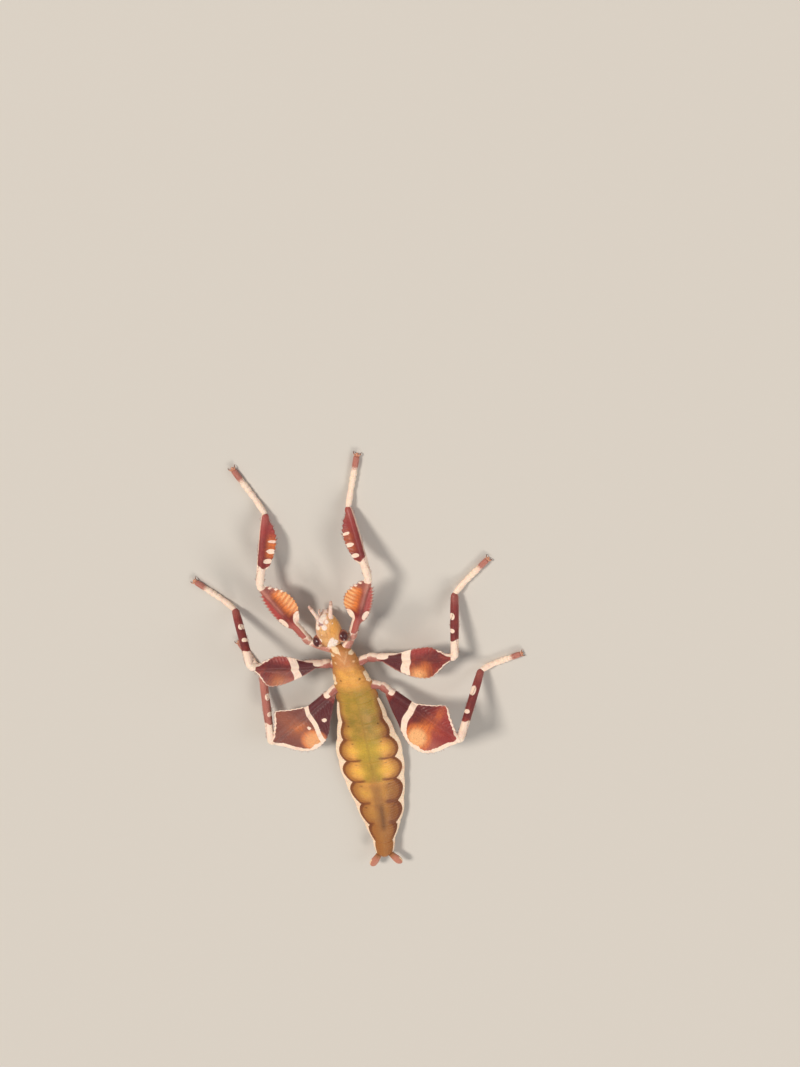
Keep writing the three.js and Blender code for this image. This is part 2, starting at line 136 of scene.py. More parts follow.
def ramp(low, high, value):
    """0 below low, 1 above high and a smooth S between; turned over when low is above high."""
    t = np.clip((value - low) / (high - low), 0, 1)
    return t * t * (3 - 2 * t)


def between(opens, open_wide, closes, closed, value):
    """0 outside opens to closed and 1 from open_wide to closes: a rising S times a falling one."""
    return ramp(opens, open_wide, value) * ramp(closed, closes, value)


def bump_at(distance, width):
    """A bell that is 1 at distance 0 and falls to about a third at one width."""
    return np.exp(-(distance / width) ** 2)


def spot_at(aside, ahead, width):
    """A round bell of the distance from where both measures are 0."""
    return bump_at(np.hypot(aside, ahead), width)


def unit(vectors):
    """The same directions, each one long."""
    return vectors / np.linalg.norm(vectors, axis=-1, keepdims=True)


def sheet_part(points, **marks):
    """One closed tube: a grid of points, rows along it and columns round it, with both ends capped.
    Each mark is a number per point that the finish reads."""
    rows, columns = points.shape[:2]
    here = np.arange(rows - 1)[:, None] * columns + np.arange(columns)[None, :]
    beside = np.arange(rows - 1)[:, None] * columns + (np.arange(columns)[None, :] + 1) % columns
    quads = np.stack([here, beside, beside + columns, here + columns], axis=-1).reshape(-1, 4)
    first = np.arange(columns)[::-1]
    last = np.arange(columns) + (rows - 1) * columns
    flat = points.reshape(-1, 3)
    corners = flat[quads]
    normals = np.cross(corners[:, 2] - corners[:, 0], corners[:, 3] - corners[:, 1])
    # by the divergence theorem, the sum of face middles times normals is below 0 on an inside-out tube
    if ((corners.mean(axis=1) - points.mean(axis=(0, 1))) * normals).sum() < 0:
        quads, first, last = quads[:, ::-1], first[::-1], last[::-1]
    flat_marks = {name: np.broadcast_to(mark, (rows, columns)).ravel() for name, mark in marks.items()}
    return flat, quads.tolist() + [first.tolist(), last.tolist()], flat_marks


def make_piece(name, parts, finish, replaced=()):
    """Joins closed parts, in millimetres, into one smooth mesh object in metres that rides on the body."""
    faces, offset = [], 0
    for points, part_faces, _ in parts:
        faces += [[corner + offset for corner in face] for face in part_faces]
        offset += len(points)
    mesh = bpy.data.meshes.new(name)
    mesh.from_pydata((np.concatenate([part[0] for part in parts]) * MM).tolist(), [], faces)
    for mark in sorted({mark for part in parts for mark in part[2]}):
        values = np.concatenate([part[2].get(mark, np.zeros(len(part[0]))) for part in parts])
        mesh.attributes.new(mark, "FLOAT", "POINT").data.foreach_set("value", values.astype(np.float32))
    mesh.polygons.foreach_set("use_smooth", np.ones(len(faces), dtype=bool))
    mesh.materials.append(finish)
    mesh.update()
    piece = bpy.data.objects.new(name, mesh)
    bpy.context.scene.collection.objects.link(piece)
    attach(piece, "root")
    if replaced:
        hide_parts(*replaced)


class Finish:
    """A node material built in steps: colours laid over each other by marks, then grain and relief."""

    def __init__(self, name, base):
        """A new material and the colour that it starts from."""
        self.material = bpy.data.materials.new(name)
        self.material.use_nodes = True
        self.tree = self.material.node_tree
        self.shader = self.tree.nodes["Principled BSDF"]
        self.place = self.node("ShaderNodeTexCoord").outputs["Object"]
        self.colour = None
        self.base = base

    def node(self, kind, **settings):
        """Adds a node with these settings."""
        made = self.tree.nodes.new(kind)
        for key, value in settings.items():
            setattr(made, key, value)
        return made

    def feed(self, value, socket):
        """Gives a socket a number of its own, or links another node's output to it."""
        if isinstance(value, (int, float)):
            socket.default_value = value
        else:
            self.tree.links.new(value, socket)

    def mark(self, name):
        """Reads a mark of the mesh."""
        return self.node("ShaderNodeAttribute", attribute_name=name).outputs["Fac"]

    def math(self, operation, *values):
        """A sum, product or the like of values, each a number or another node's output."""
        step = self.node("ShaderNodeMath", operation=operation)
        for value, socket in zip(values, step.inputs):
            self.feed(value, socket)
        return step.outputs[0]

    def grid(self, kind, scales_mm, **settings):
        """A texture node whose pattern repeats in about scales_mm along x, y and z."""
        mapping = self.node("ShaderNodeMapping")
        mapping.inputs["Scale"].default_value = [1 / (scale * MM) for scale in scales_mm]
        self.feed(self.place, mapping.inputs["Vector"])
        texture = self.node(kind, **settings)
        texture.inputs["Scale"].default_value = 1.0
        self.feed(mapping.outputs[0], texture.inputs["Vector"])
        return texture

    def noise(self, grain_mm, detail=4.0):
        """Clouded noise whose blotches are about grain_mm across."""
        texture = self.grid("ShaderNodeTexNoise", [grain_mm] * 3)
        texture.inputs["Detail"].default_value = detail
        texture.inputs["Roughness"].default_value = 0.6
        return texture.outputs["Fac"]

    def cells(self, size_mm, feature="F1"):
        """Distance to the nearest of many scattered points about size_mm apart, or to the cells' edges."""
        return self.grid("ShaderNodeTexVoronoi", [size_mm] * 3, feature=feature).outputs["Distance"]

    def spread(self, value, low, high, to_low=0.0, to_high=1.0):
        """Stretches the range low to high onto to_low to to_high, smoothly and without passing either."""
        step = self.node("ShaderNodeMapRange", interpolation_type="SMOOTHSTEP")
        for socket, end in (("From Min", low), ("From Max", high), ("To Min", to_low), ("To Max", to_high)):
            step.inputs[socket].default_value = end
        self.feed(value, step.inputs["Value"])
        return step.outputs[0]

    def patchy(self, name, grain, ragged=0.5, low=0.35, high=0.65):
        """A mark whose rim is broken up by a grain: ragged is how far the grain moves it."""
        shift = self.math("MULTIPLY_ADD", grain, ragged, -ragged / 2)
        return self.spread(self.math("ADD", self.mark(name), shift), low, high)

    def lay(self, colour, factor):
        """Lays a colour over what is there, as far as factor says."""
        mix = self.node("ShaderNodeMix", data_type="RGBA")
        self.feed(factor, mix.inputs["Factor"])
        if self.colour is None:
            mix.inputs["A"].default_value = (*self.base, 1)
        else:
            self.feed(self.colour, mix.inputs["A"])
        mix.inputs["B"].default_value = (*colour, 1)
        self.colour = mix.outputs["Result"]

    def tint(self, *rows):
        """Lays each (colour, mark, amount) in turn, as far as the mark, or an output, times the amount."""
        for colour, mark, amount in rows:
            share = self.mark(mark) if isinstance(mark, str) else mark
            self.lay(colour, self.math("MULTIPLY", share, amount))

    def relief(self, *heights):
        """Adds bumps: each (height, millimetres) pair is a pattern and its depth."""
        normal = None
        for height, depth_mm in heights:
            bump = self.node("ShaderNodeBump")
            bump.inputs["Strength"].default_value = 1.0
            bump.inputs["Distance"].default_value = depth_mm * MM
            self.feed(height, bump.inputs["Height"])
            if normal is not None:
                self.feed(normal, bump.inputs["Normal"])
            normal = bump.outputs["Normal"]
        self.feed(normal, self.shader.inputs["Normal"])

    def done(self, roughness, glow_mm=0.0, glow=0.0, coat=0.0, shine=0.3):
        """Sets the gloss and how far light spreads inside, and gives back the material."""
        self.feed(self.colour, self.shader.inputs["Base Color"])
        self.feed(roughness, self.shader.inputs["Roughness"])
        for socket, value in (("Subsurface Weight", glow), ("Subsurface Radius", (1.0, 0.45, 0.2)),
                              ("Subsurface Scale", glow_mm * MM), ("Specular IOR Level", shine),
                              ("Coat Weight", coat), ("Coat Roughness", 0.25)):
            self.shader.inputs[socket].default_value = value
        return self.material


# the line down the middle, and the half width and half thickness of the body, by place from neck to tail
spine_x = curve_through([(-2.8, 1.46), (-2.2, 1.12), (-1.0, 0.93), (0.4, 0.76), (2.5, 0.67), (4.5, 0.66),
                         (7.0, 0.63), (9.5, 0.56), (11.4, 0.67), (12.9, 0.78)])
spine_z = curve_through([(-2.8, 1.38), (-2.2, 1.36), (-1.0, 1.32), (0.4, 1.22), (2.5, 0.9),
                         (5.2, 0.5), (7.5, 0.4), (9.8, 0.42), (11.6, 0.58), (12.9, 0.74)])
trunk_width = curve_through([(-2.8, 0.5), (-2.2, 0.62), (-1.5, 0.76), (-0.4, 1.0), (0.35, 1.08), (1.35, 1.2),
                             (3.35, 1.53), (4.3, 1.74), (5.3, 1.83), (6.2, 1.79), (7.0, 1.71), (8.0, 1.54),
                             (9.0, 1.37), (10.0, 1.14), (11.0, 0.8), (12.0, 0.56), (12.5, 0.5)])
trunk_core = curve_through([(-2.8, 0.4), (-2.2, 0.47), (-1.0, 0.56), (0.4, 0.56), (3.0, 0.52),
                            (7.0, 0.44), (10.0, 0.38), (12.5, 0.32)])
along = np.linspace(NECK_Y, TAIL_Y, TRUNK_ROWS)[:, None]
turn = np.linspace(0, 2 * math.pi, TRUNK_COLUMNS, endpoint=False)[None, :]
across = np.cos(turn)
upper = np.sign(np.round(np.sin(turn), 6))
ring = np.clip(np.searchsorted(RING_CUTS, along) - 1, 0, len(RING_CUTS) - 2)
ring_length = RING_CUTS[ring + 1] - RING_CUTS[ring]
ring_share = np.clip((along - RING_CUTS[ring]) / ring_length, 0, 1)
from_ring_end = (1 - ring_share) * ring_length
from_joint = np.minimum(ring_share, 1 - ring_share) * ring_length
on_abdomen = ramp(THORAX_END, 0.9, along)

# the neck is a thin collar, the tail plate is rounded, and there is a waist at each joint of the thorax
neck = 0.52 + 0.48 * ramp(-2.62, -2.45, along)
tail = np.sqrt(np.clip(1 - (np.clip(along - (TAIL_Y - 0.3), 0, None) / 0.3) ** 2, 0.0004, 1))
ends = neck * tail * np.sqrt(np.clip((along - NECK_Y) / 0.08, 0.0004, 1))
waist = 1 - 0.06 * (bump_at(along - PRONOTUM_END, 0.07) + bump_at(along - MESOTHORAX_END, 0.07)
                    + bump_at(along - THORAX_END, 0.06))
bulge = SCALLOP * (np.sin(math.pi * ring_share) ** 0.8 - 0.4) * on_abdomen
half_width = (trunk_width(along) + bulge - INSET) * ends * waist
sideways = across * half_width
aside = np.abs(sideways)
from_edge = half_width - aside

# the thorax is round in section, and the abdomen thins to its margin
core = (trunk_core(along) - INSET) * ends
edge = TRUNK_EDGE * ends / neck
lens = np.clip(1 - across ** 2, 0, 1)
crown = lens ** 0.5
flat_section = edge * np.sqrt(np.clip(1 - across ** 4, 0, 1)) + (core - edge) * lens ** 1.2
round_section = core * crown * (0.66 + 0.34 * lens)
plump = 1 - 0.999 * ramp(-0.6, 1.2, along)
thickness = plump * round_section + (1 - plump) * flat_section

# the border is a cream hem, narrow at the middle of each ring and wide in the notch between two rings
hem_narrow = curve_through([(0.8, 0.08), (2.0, 0.18), (3.2, 0.2), (4.7, 0.17), (6.3, 0.13), (8.0, 0.1),
                            (9.5, 0.1), (11.0, 0.11), (12.4, 0.07)])(along)
hem_wide = curve_through([(0.8, 0.1), (2.5, 0.23), (3.87, 0.34), (5.5, 0.45), (7.06, 0.43), (8.7, 0.35),
                          (10.2, 0.28), (11.4, 0.16), (12.4, 0.08)])(along)
inside_hem = from_edge - hem_wide - (hem_narrow - hem_wide) * np.sin(math.pi * ring_share) ** 0.75
cream = ramp(0.03, -0.03, inside_hem) * between(0.7, 1.5, 12.3, 12.55, along)

# relief: grooves between rings, a keel down the back, pads under the yellow spots, overlapping ring ends,
# a step at the hem, wrinkles, two rows of knobs on the thorax and folds on its plates
spot_out = curve_through([(3.2, 0.86), (4.7, 0.8), (6.3, 0.72), (7.7, 0.62), (9.3, 0.5)])(along)
ring_groove = (bump_at(from_joint, 0.04) * on_abdomen + bump_at(along - PRONOTUM_END, 0.05)
               + bump_at(along - MESOTHORAX_END, 0.05))
keel = 0.02 * bump_at(sideways, 0.05) * (1 - 0.5 * on_abdomen) + 0.03 * bump_at(sideways, 0.4) * on_abdomen
pads = 0.05 * spot_at(aside - spot_out, (ring_share - 0.5) * ring_length * 0.8, 0.36)
overlap = 0.025 * ring_share ** 2 * on_abdomen * crown
step = 0.03 * ramp(-0.04, 0.12, inside_hem) * ramp(0.9, 1.6, along)
wrinkles = 0.01 * np.sin(along * 34 + 3 * aside) * ramp(0.3, 0.5, np.abs(across)) * on_abdomen * crown
knobs = (0.05 * ramp(0.2, 0.95, np.cos(2 * math.pi * (along + 0.55) / 0.3))
         * bump_at(np.abs(across) - 0.78, 0.1))
folds = (0.012 * np.sin(along * 22 + 2.4 * aside) * between(-2.5, -2.2, 0.5, 0.9, along) * crown
         + 0.03 * bump_at(aside - 0.36, 0.16) * between(-1.9, -1.5, 0.0, 0.4, along))
upper_relief = (keel + pads * on_abdomen * ramp(11.0, 9.5, along) + overlap + step + wrinkles
                + knobs * between(-2.1, -1.9, -0.5, -0.35, along) + folds - 0.022 * ring_groove * crown)
height = upper * thickness + np.where(upper > 0, upper_relief, 0.02 * ring_groove * crown)
trunk_points = np.stack([
    spine_x(along) + sideways,
    np.broadcast_to(along, sideways.shape),
    np.maximum(spine_z(along) + height, 0.0)], axis=-1)

# brown runs along the hem, in the notches and in a line before each ring's end, on its outer part;
# side_shade is painted shade that browns the right side of the rear rings and dims their yellow spots
rear_line = (bump_at(from_ring_end - 0.2 + 0.22 * ramp(0.35, 1.3, aside), 0.13) * ramp(0.25, 0.6, aside)
             * ramp(3.3, 4.6, along))
rim_line = bump_at(inside_hem - 0.08, 0.13) * ramp(1.2, 2.6, along)
notch_dusk = bump_at(from_joint, 0.22) * ramp(0.5, 0.8, np.abs(across)) * ramp(3.0, 4.0, along)
side_shade = ramp(0.05, -0.4, sideways) * between(6.9, 7.4, 10.2, 11.2, along)
brown = (np.clip(0.8 * rear_line + 0.9 * rim_line + 0.5 * notch_dusk + 0.4 * side_shade, 0, 1)
         * (1 - cream) * ramp(11.6, 10.8, along))
amber = np.clip(ramp(0.72, 0.2, inside_hem) + 0.8 * ramp(0.5, 0.1, from_ring_end) * ramp(0.4, 0.6, aside),
                0, 1) * ramp(1.4, 2.6, along)
spot_strength = curve_through([(1.0, 0.0), (2.2, 0.25), (3.2, 0.35), (4.7, 1.0), (6.3, 0.9), (7.9, 0.42),
                               (9.4, 0.15), (10.6, 0.0)])(along)
# the yellow spots on the right of the rear rings are dimmed by painted shade
yellow = (spot_at((aside - spot_out) * 0.85, (ring_share - 0.46) * ring_length, 0.3) * spot_strength
          * (1 - 0.7 * side_shade))

# the gut shows green, brightest in rings 4 and 5, dark matter fills the tail's middle, the outer sides of
# the front rings are darker, and painted shade darkens the right side of the front and rear rings
gut_width = curve_through([(-0.6, 0.6), (0.4, 0.85), (3.6, 0.78), (4.2, 0.64), (5.2, 0.6), (5.7, 0.52),
                           (6.9, 0.48)])
green = ramp(0.28, -0.2, aside - gut_width(along)) * between(-0.5, 0.5, 6.8, 7.2, along)
bright = bump_at(along - 4.6, 0.9) + 0.7 * bump_at(along - 6.3, 0.6) + 0.3 * bump_at(along - 1.0, 0.8)
dusk = (0.45 * ramp(6.6, 7.4, along) + 0.4 * ramp(7.8, 10.0, along)
        # the next two terms, on the right side only, are painted shade
        + 0.6 * ramp(-0.3, -0.75, sideways) * between(1.0, 1.8, 3.4, 4.2, along)
        + 0.4 * ramp(-0.3, -0.8, sideways) * between(6.9, 7.5, 10.0, 11.0, along)
        + 0.8 * ramp(0.75, 1.0, aside) * between(0.3, 1.0, 3.4, 4.0, along))
stripe = (ramp(0.42, 0.14, aside) * (0.25 * ramp(5.6, 6.1, along) + 0.6 * ramp(7.0, 7.6, along))
          * ramp(11.2, 9.6, along))
midline = (bump_at(sideways + 0.06, 0.13) * between(8.5, 9.0, 10.2, 10.7, along)
           + 0.22 * bump_at(sideways, 0.025) * between(0.5, 1.5, 6.5, 7.0, along))

# the pronotum has a pale forked line and two dots, and cream patches stand at the neck and shoulders
fork_from_middle = 0.34 * ramp(-1.75, -2.4, along)
bands = (0.45 * bump_at(aside - fork_from_middle, 0.13) * between(-2.5, -2.35, -1.75, -1.6, along)
         + 0.8 * spot_at(aside - 0.48, along + 1.72, 0.09))
dull = ramp(-1.1, -1.7, along) + ramp(0.24, 0.06, from_edge) * between(-1.6, -1.2, 0.5, 0.9, along)
pale = np.clip(1.3 * ramp(0.2, 0.1, from_edge) * bump_at(along + 0.55, 0.34)
               + 1.2 * spot_at(along + 2.2, from_edge - 0.06, 0.13)
               + 1.56 * spot_at((along + 2.58) * 0.9, sideways - 0.12, 0.17)
               + 0.35 * bump_at(sideways, 0.06) * ramp(-1.6, -1.9, along), 0, 1)
pits = (spot_at(aside - 0.8, (ring_share - 0.14) * ring_length, 0.05) * ramp(2.4, 2.7, along)
        + spot_at(aside - 0.5, along + 0.62, 0.05))
trunk = sheet_part(trunk_points, cream=cream, brown=brown, yellow=yellow, amber=amber, green=green,
                   bright=bright, dusk=dusk, stripe=stripe, midline=midline, bands=bands, dull=dull,
                   pale=pale, pits=pits, edge=ramp(0.5, 0.0, from_edge))


def cercus_part(mirror):
    """A short flat tail feeler: an oval section whose width swells to its middle and closes at the tip,
    carried along a line that leaves the tail backwards and sideways."""
    length = 1.06
    share = np.linspace(0, 1, 60)[:, None]
    turn = np.linspace(0, 2 * math.pi, 28, endpoint=False)[None, :]
    tail_end = RING_CUTS[-1]
    root = np.array([spine_x(tail_end) + mirror * 0.26, tail_end - 0.2, spine_z(tail_end)])
    away = unit(np.array([mirror * 0.72, 1, 0.06]))
    side = unit(np.array([away[1], -away[0], 0]))
    closing = np.sqrt(np.clip(1 - (np.clip(share - 0.8, 0, None) / 0.2) ** 2, 0.002, 1))
    reach = curve_through([(0, 0.17), (0.3, 0.19), (0.7, 0.235), (1, 0.17)])(share) * closing
    thick = 0.45 * reach + 0.03 * closing
    points = (root + away * (share * length)[..., None] + side * (reach * np.cos(turn))[..., None]
              + np.cross(side, away) * (thick * np.sin(turn))[..., None])
    return sheet_part(points, dusk=1, brown=0.8 * ramp(0.35, 0.0, share), blush=ramp(0.1, 0.5, share),
                      pale=0.55 * ramp(0.5, 0.9, np.abs(np.cos(turn))) * ramp(0.3, 0.7, share))


trunk_finish = Finish("trunk cuticle", (0.84, 0.42, 0.10))
blotches = trunk_finish.noise(0.45)
fine = trunk_finish.noise(0.07, detail=6.0)
plates = trunk_finish.cells(0.13, "DISTANCE_TO_EDGE")
bright_green = trunk_finish.math("MULTIPLY", trunk_finish.mark("green"), trunk_finish.mark("bright"))
trunk_finish.lay((0.62, 0.28, 0.075), trunk_finish.spread(blotches, 0.35, 0.7, 0.0, 0.6))
trunk_finish.tint(
    ((0.58, 0.24, 0.11), "dull", 0.75),
    ((0.46, 0.19, 0.055), "edge", 0.8),
    # dusk is partly painted shade, on the right side of the front and rear rings
    ((0.24, 0.085, 0.036), "dusk", 0.85),
    ((0.36, 0.135, 0.035), "amber", 0.8),
    ((0.29, 0.195, 0.032), "green", trunk_finish.spread(blotches, 0.3, 0.7, 1.0, 0.6)),
    ((0.58, 0.39, 0.042), bright_green, trunk_finish.spread(fine, 0.2, 0.7, 0.95, 0.6)),
    ((0.30, 0.135, 0.05), "stripe", 0.85),
    ((0.88, 0.50, 0.085), "yellow", trunk_finish.spread(fine, 0.25, 0.75, 1.0, 0.82)),
    # brown also lays the painted shade on the right side of the rear rings
    ((0.16, 0.042, 0.02), trunk_finish.patchy("brown", fine, 0.5, 0.15, 1.0), 0.8),
    ((0.15, 0.065, 0.03), "midline", 0.75),
    ((0.90, 0.56, 0.30), trunk_finish.patchy("bands", fine, 0.5, 0.2, 0.8), 0.8),
    ((0.55, 0.22, 0.16), "blush", 0.85))
trunk_finish.lay((0.93, 0.70, 0.46), trunk_finish.patchy("pale", fine, 0.5, 0.3, 0.6))
trunk_finish.lay((0.95, 0.73, 0.54), trunk_finish.patchy("cream", fine, 0.5))
trunk_finish.tint(
    ((0.72, 0.36, 0.22), "cream", trunk_finish.spread(blotches, 0.5, 0.75, 0.0, 0.45)),
    ((0.05, 0.02, 0.012), "pits", 0.85))
trunk_finish.lay((0.20, 0.09, 0.04), trunk_finish.spread(plates, 0.05, 0.0, 0.0, 0.3))
trunk_finish.lay((0.22, 0.10, 0.04), trunk_finish.spread(fine, 0.6, 0.8, 0.0, 0.35))
trunk_finish.relief((plates, 0.022), (trunk_finish.cells(0.05), 0.012), (fine, 0.016))
trunk_material = trunk_finish.done(trunk_finish.spread(fine, 0.3, 0.7, 0.4, 0.6), glow_mm=0.12, glow=0.1,
                                   coat=0.05, shine=0.2)
make_piece("trunk_skin", [trunk, cercus_part(1), cercus_part(-1)], trunk_material,
           ["pronotum", "mesothorax", "metathorax", "cercus_left", "cercus_right"]
           + [f"abdomen_{number:02d}" for number in range(2, 11)])


# ---- Head ----------------------------------------------------------------------------------------
# A rounded capsule of harder cuticle, turned a little to the insect's left with the face sloping down.
# Ochre above with white patches, small knobs on the crown and a furrow down the middle.
HEAD_BACK = np.array([1.5, -2.66, 1.4])
HEAD_LENGTH = 1.84
HEAD_YAW = math.radians(7.5)
HEAD_DROP = math.radians(14)
HEAD_ROWS, HEAD_COLUMNS = 240, 160
ahead = np.array([math.sin(HEAD_YAW) * math.cos(HEAD_DROP), -math.cos(HEAD_YAW) * math.cos(HEAD_DROP),
                  -math.sin(HEAD_DROP)])
head_side = np.array([math.cos(HEAD_YAW), math.sin(HEAD_YAW), 0.0])
head_up = np.cross(ahead, head_side)
head_width = curve_through([(0, 0.44), (0.12, 0.6), (0.35, 0.7), (0.6, 0.67), (0.8, 0.55), (0.93, 0.39),
                            (1, 0.22)])
head_height = curve_through([(0, 0.36), (0.12, 0.49), (0.35, 0.58), (0.6, 0.56), (0.8, 0.47), (0.93, 0.33),
                             (1, 0.18)])


def on_head(share, out, rise):
    """Places on the head: a share of its length from the back, and millimetres sideways and up."""
    share, out, rise = (np.asarray(value, float)[..., None] for value in (share, out, rise))
    return HEAD_BACK + ahead * share * HEAD_LENGTH + head_side * out + head_up * rise


share = np.linspace(0, 1, HEAD_ROWS)[:, None]
turn = np.linspace(0, 2 * math.pi, HEAD_COLUMNS, endpoint=False)[None, :]
closed = np.sqrt(np.clip(share / 0.06, 0.0004, 1)) * np.sqrt(np.clip((1 - share) / 0.07, 0.0004, 1))
out = np.cos(turn) * (head_width(share) - INSET) * closed
above = ramp(-0.1, 0.5, np.sin(turn))


def head_spot(place, offset, width, lean=0.0, squeeze=1.0):
    """A round bell on the head, at a share of its length and an offset to its left. Lean slants it, and
    squeeze shortens it along the head, or lengthens it when below 1."""
    ahead_mm = (share - place) * HEAD_LENGTH * squeeze
    return spot_at(ahead_mm, out - offset - lean * ahead_mm, width)


def head_pair(place, offset, width):
    """A bell on each side of the head."""
    return spot_at((share - place) * HEAD_LENGTH, np.abs(out) - offset, width)


furrow = -0.03 * bump_at(out, 0.045) * ramp(0.75, 0.55, share)
fork = -0.022 * bump_at(np.abs(out) + 0.75 * (0.55 - share), 0.04) * between(0.5, 0.56, 0.76, 0.84, share)
crown_knobs = sum(0.04 * head_pair(place, offset, 0.055)
                  for place, offset in ((0.09, 0.13), (0.14, 0.33), (0.26, 0.2), (0.42, 0.3), (0.5, 0.1)))
socket_rims = 0.03 * bump_at(np.hypot((share - 0.83) * HEAD_LENGTH, np.abs(out) - 0.27) - 0.13, 0.04)
lumps = sum(0.045 * head_spot(place, offset, 0.11)
            for place, offset in ((0.02, -0.08), (0.2, -0.05), (0.66, 0.08), (0.68, 0.46), (0.85, 0.2)))
grain_rows = 0.006 * np.sin(share * 150) * np.sin(out * 75) * ramp(0.05, 0.15, share)
rise = np.sin(turn) * (head_height(share) - INSET) * closed + above * (
    furrow + fork + 0.03 * head_pair(0.62, 0.42, 0.2) + crown_knobs + socket_rims + lumps + grain_rows)

# strength, place and offset, width, lean and squeeze of each white patch and of each violet spot of painted
# shade below and between the white lumps
WHITE_PATCHES = (
    (1.4, 0.02, -0.08, 0.25), (1.2, 0.18, -0.03, 0.15, -0.9, 0.5), (0.9, 0.2, -0.28, 0.12, 0.6),
    (1.2, 0.66, 0.08, 0.145), (1.1, 0.68, 0.46, 0.13), (1.2, 0.86, 0.2, 0.12, 0.0, 0.6),
    (1.0, 0.84, 0.44, 0.13), (1.0, 0.8, -0.1, 0.1), (0.8, 0.94, -0.02, 0.16), (0.9, 0.3, 0.5, 0.14),
    (0.7, 0.72, -0.36, 0.06), (0.6, 0.47, 0.33, 0.07))
VIOLET_PAINTED_SHADE = (
    (1.0, 0.765, 0.2, 0.12, 0.4, 1.5), (0.8, 0.74, 0.34, 0.06), (0.7, 0.6, 0.28, 0.05),
    (0.6, 0.82, 0.3, 0.05))
white, violet = (np.clip(sum(strength * head_spot(*spot) for strength, *spot in spots), 0, 1) * above
                 for spots in (WHITE_PATCHES, VIOLET_PAINTED_SHADE))
orange = np.clip(1.3 * head_spot(0.58, -0.42, 0.27, lean=-0.6, squeeze=0.6), 0, 1) * above
behind_eye = head_spot(0.03, 0.42, 0.26) + head_pair(0.12, 0.56, 0.16)
head_stripe = (bump_at(out + 0.17 + 0.35 * (share - 0.5), 0.05) * ramp(0.2, 0.3, share)
               + 0.6 * bump_at(out - 0.42, 0.07)) * ramp(0.72, 0.6, share) * above
rose = np.clip(ramp(0.15, -0.5, np.sin(turn)) + 0.9 * ramp(0.64, 0.82, share) * ramp(-0.35, 0.0, out)
               + 0.7 * ramp(0.38, 0.56, out) * ramp(0.2, 0.35, share), 0, 1)
head = sheet_part(on_head(share + 0 * out, out, rise), white=white, violet=violet, orange=orange, rose=rose,
                  brown=np.clip(behind_eye + 0.45 * head_stripe, 0, 1))

head_finish = Finish("head cuticle", (0.80, 0.45, 0.19))
blotches = head_finish.noise(0.3)
fine = head_finish.noise(0.045, detail=6.0)
plates = head_finish.cells(0.12, "DISTANCE_TO_EDGE")
head_finish.lay((0.50, 0.22, 0.075), head_finish.spread(blotches, 0.4, 0.75, 0.0, 0.65))
head_finish.tint(
    ((0.30, 0.10, 0.04), "brown", 0.8),
    ((0.86, 0.39, 0.08), "orange", 0.85),
    ((0.82, 0.50, 0.37), "rose", 0.8))
head_finish.lay((0.95, 0.80, 0.70), head_finish.patchy("white", fine, 0.6, 0.35, 0.7))
# violet painted shade below and between the white lumps on the face
head_finish.lay((0.32, 0.14, 0.16), head_finish.spread(head_finish.mark("violet"), 0.2, 0.85, 0.0, 0.85))
head_finish.lay((0.34, 0.15, 0.07), head_finish.spread(fine, 0.6, 0.8, 0.0, 0.45))
head_finish.lay((0.30, 0.12, 0.05), head_finish.spread(plates, 0.045, 0.0, 0.0, 0.35))
head_finish.relief((plates, 0.014), (head_finish.cells(0.06), 0.014), (fine, 0.016))
head_material = head_finish.done(head_finish.spread(fine, 0.3, 0.7, 0.34, 0.55), glow_mm=0.12, glow=0.15,
                                 coat=0.12)
make_piece("head_skin", [head], head_material, ["head"])


# ---- Eyes ----------------------------------------------------------------------------------------
# Two round compound eyes, each a glossy dome of thousands of tiny lenses: red-brown with a dark maroon
# middle, and a pale ring behind where the dome meets the head.
EYE_SHARE, EYE_OUT, EYE_RISE = 0.25, 0.66, 0.1
EYE_RADII = (0.29, 0.34, 0.34)      # outwards, ahead and up
LENS_MM_ACROSS = 0.022
SIDES = ((1, "left"), (-1, "right"))


def eye_part(mirror):
    """An ellipsoid round the eye's middle, turned with the head: two angles give each point's direction."""
    polar = np.linspace(0.02, math.pi - 0.02, 96)[:, None]
    turned = np.linspace(0, 2 * math.pi, 128, endpoint=False)[None, :]
    outwards = np.cos(polar) + 0 * turned
    frontwards = np.sin(polar) * np.cos(turned)
    upwards = np.sin(polar) * np.sin(turned)
    points = (on_head(EYE_SHARE, mirror * EYE_OUT, EYE_RISE)
              + head_side * (mirror * EYE_RADII[0] * outwards)[..., None]
              + ahead * (EYE_RADII[1] * frontwards)[..., None]
              + head_up * (EYE_RADII[2] * upwards)[..., None])
    return sheet_part(points, ring=ramp(-0.45, -0.75, frontwards * 0.8 + outwards * 0.35 - 0.1),
                      centre=ramp(0.52, 0.76, 0.42 * outwards + 0.87 * upwards + 0.15 * frontwards))


eye_finish = Finish("compound eye", (0.30, 0.085, 0.05))
lenses = eye_finish.cells(LENS_MM_ACROSS)
eye_finish.lay((0.42, 0.15, 0.08), eye_finish.spread(lenses, 0.2, 0.6, 0.7, 0.0))
eye_finish.tint(((0.07, 0.012, 0.014), "centre", 0.95))
eye_finish.lay((0.70, 0.42, 0.27), eye_finish.spread(eye_finish.mark("ring"), 0.3, 0.7))
eye_finish.relief((lenses, 0.004))
eye_material = eye_finish.done(0.22, glow_mm=0.02, coat=0.6)
for mirror, hand in SIDES:
    make_piece(f"compound_eye_{hand}", [eye_part(mirror)], eye_material, [f"eye_{hand}"])


# ---- Antennae and mouthparts ---------------------------------------------------------------------
# Short pale feelers of nine beads each stand on sockets at the front of the head. Below them hang the lip,
# the two jaws and the jointed palps that taste what the insect eats.
ANTENNA_LENGTH = 1.05
ANTENNA_JOINTS = np.array([0.0, 0.2, 0.31, 0.4, 0.49, 0.58, 0.68, 0.78, 0.88, 1.0])


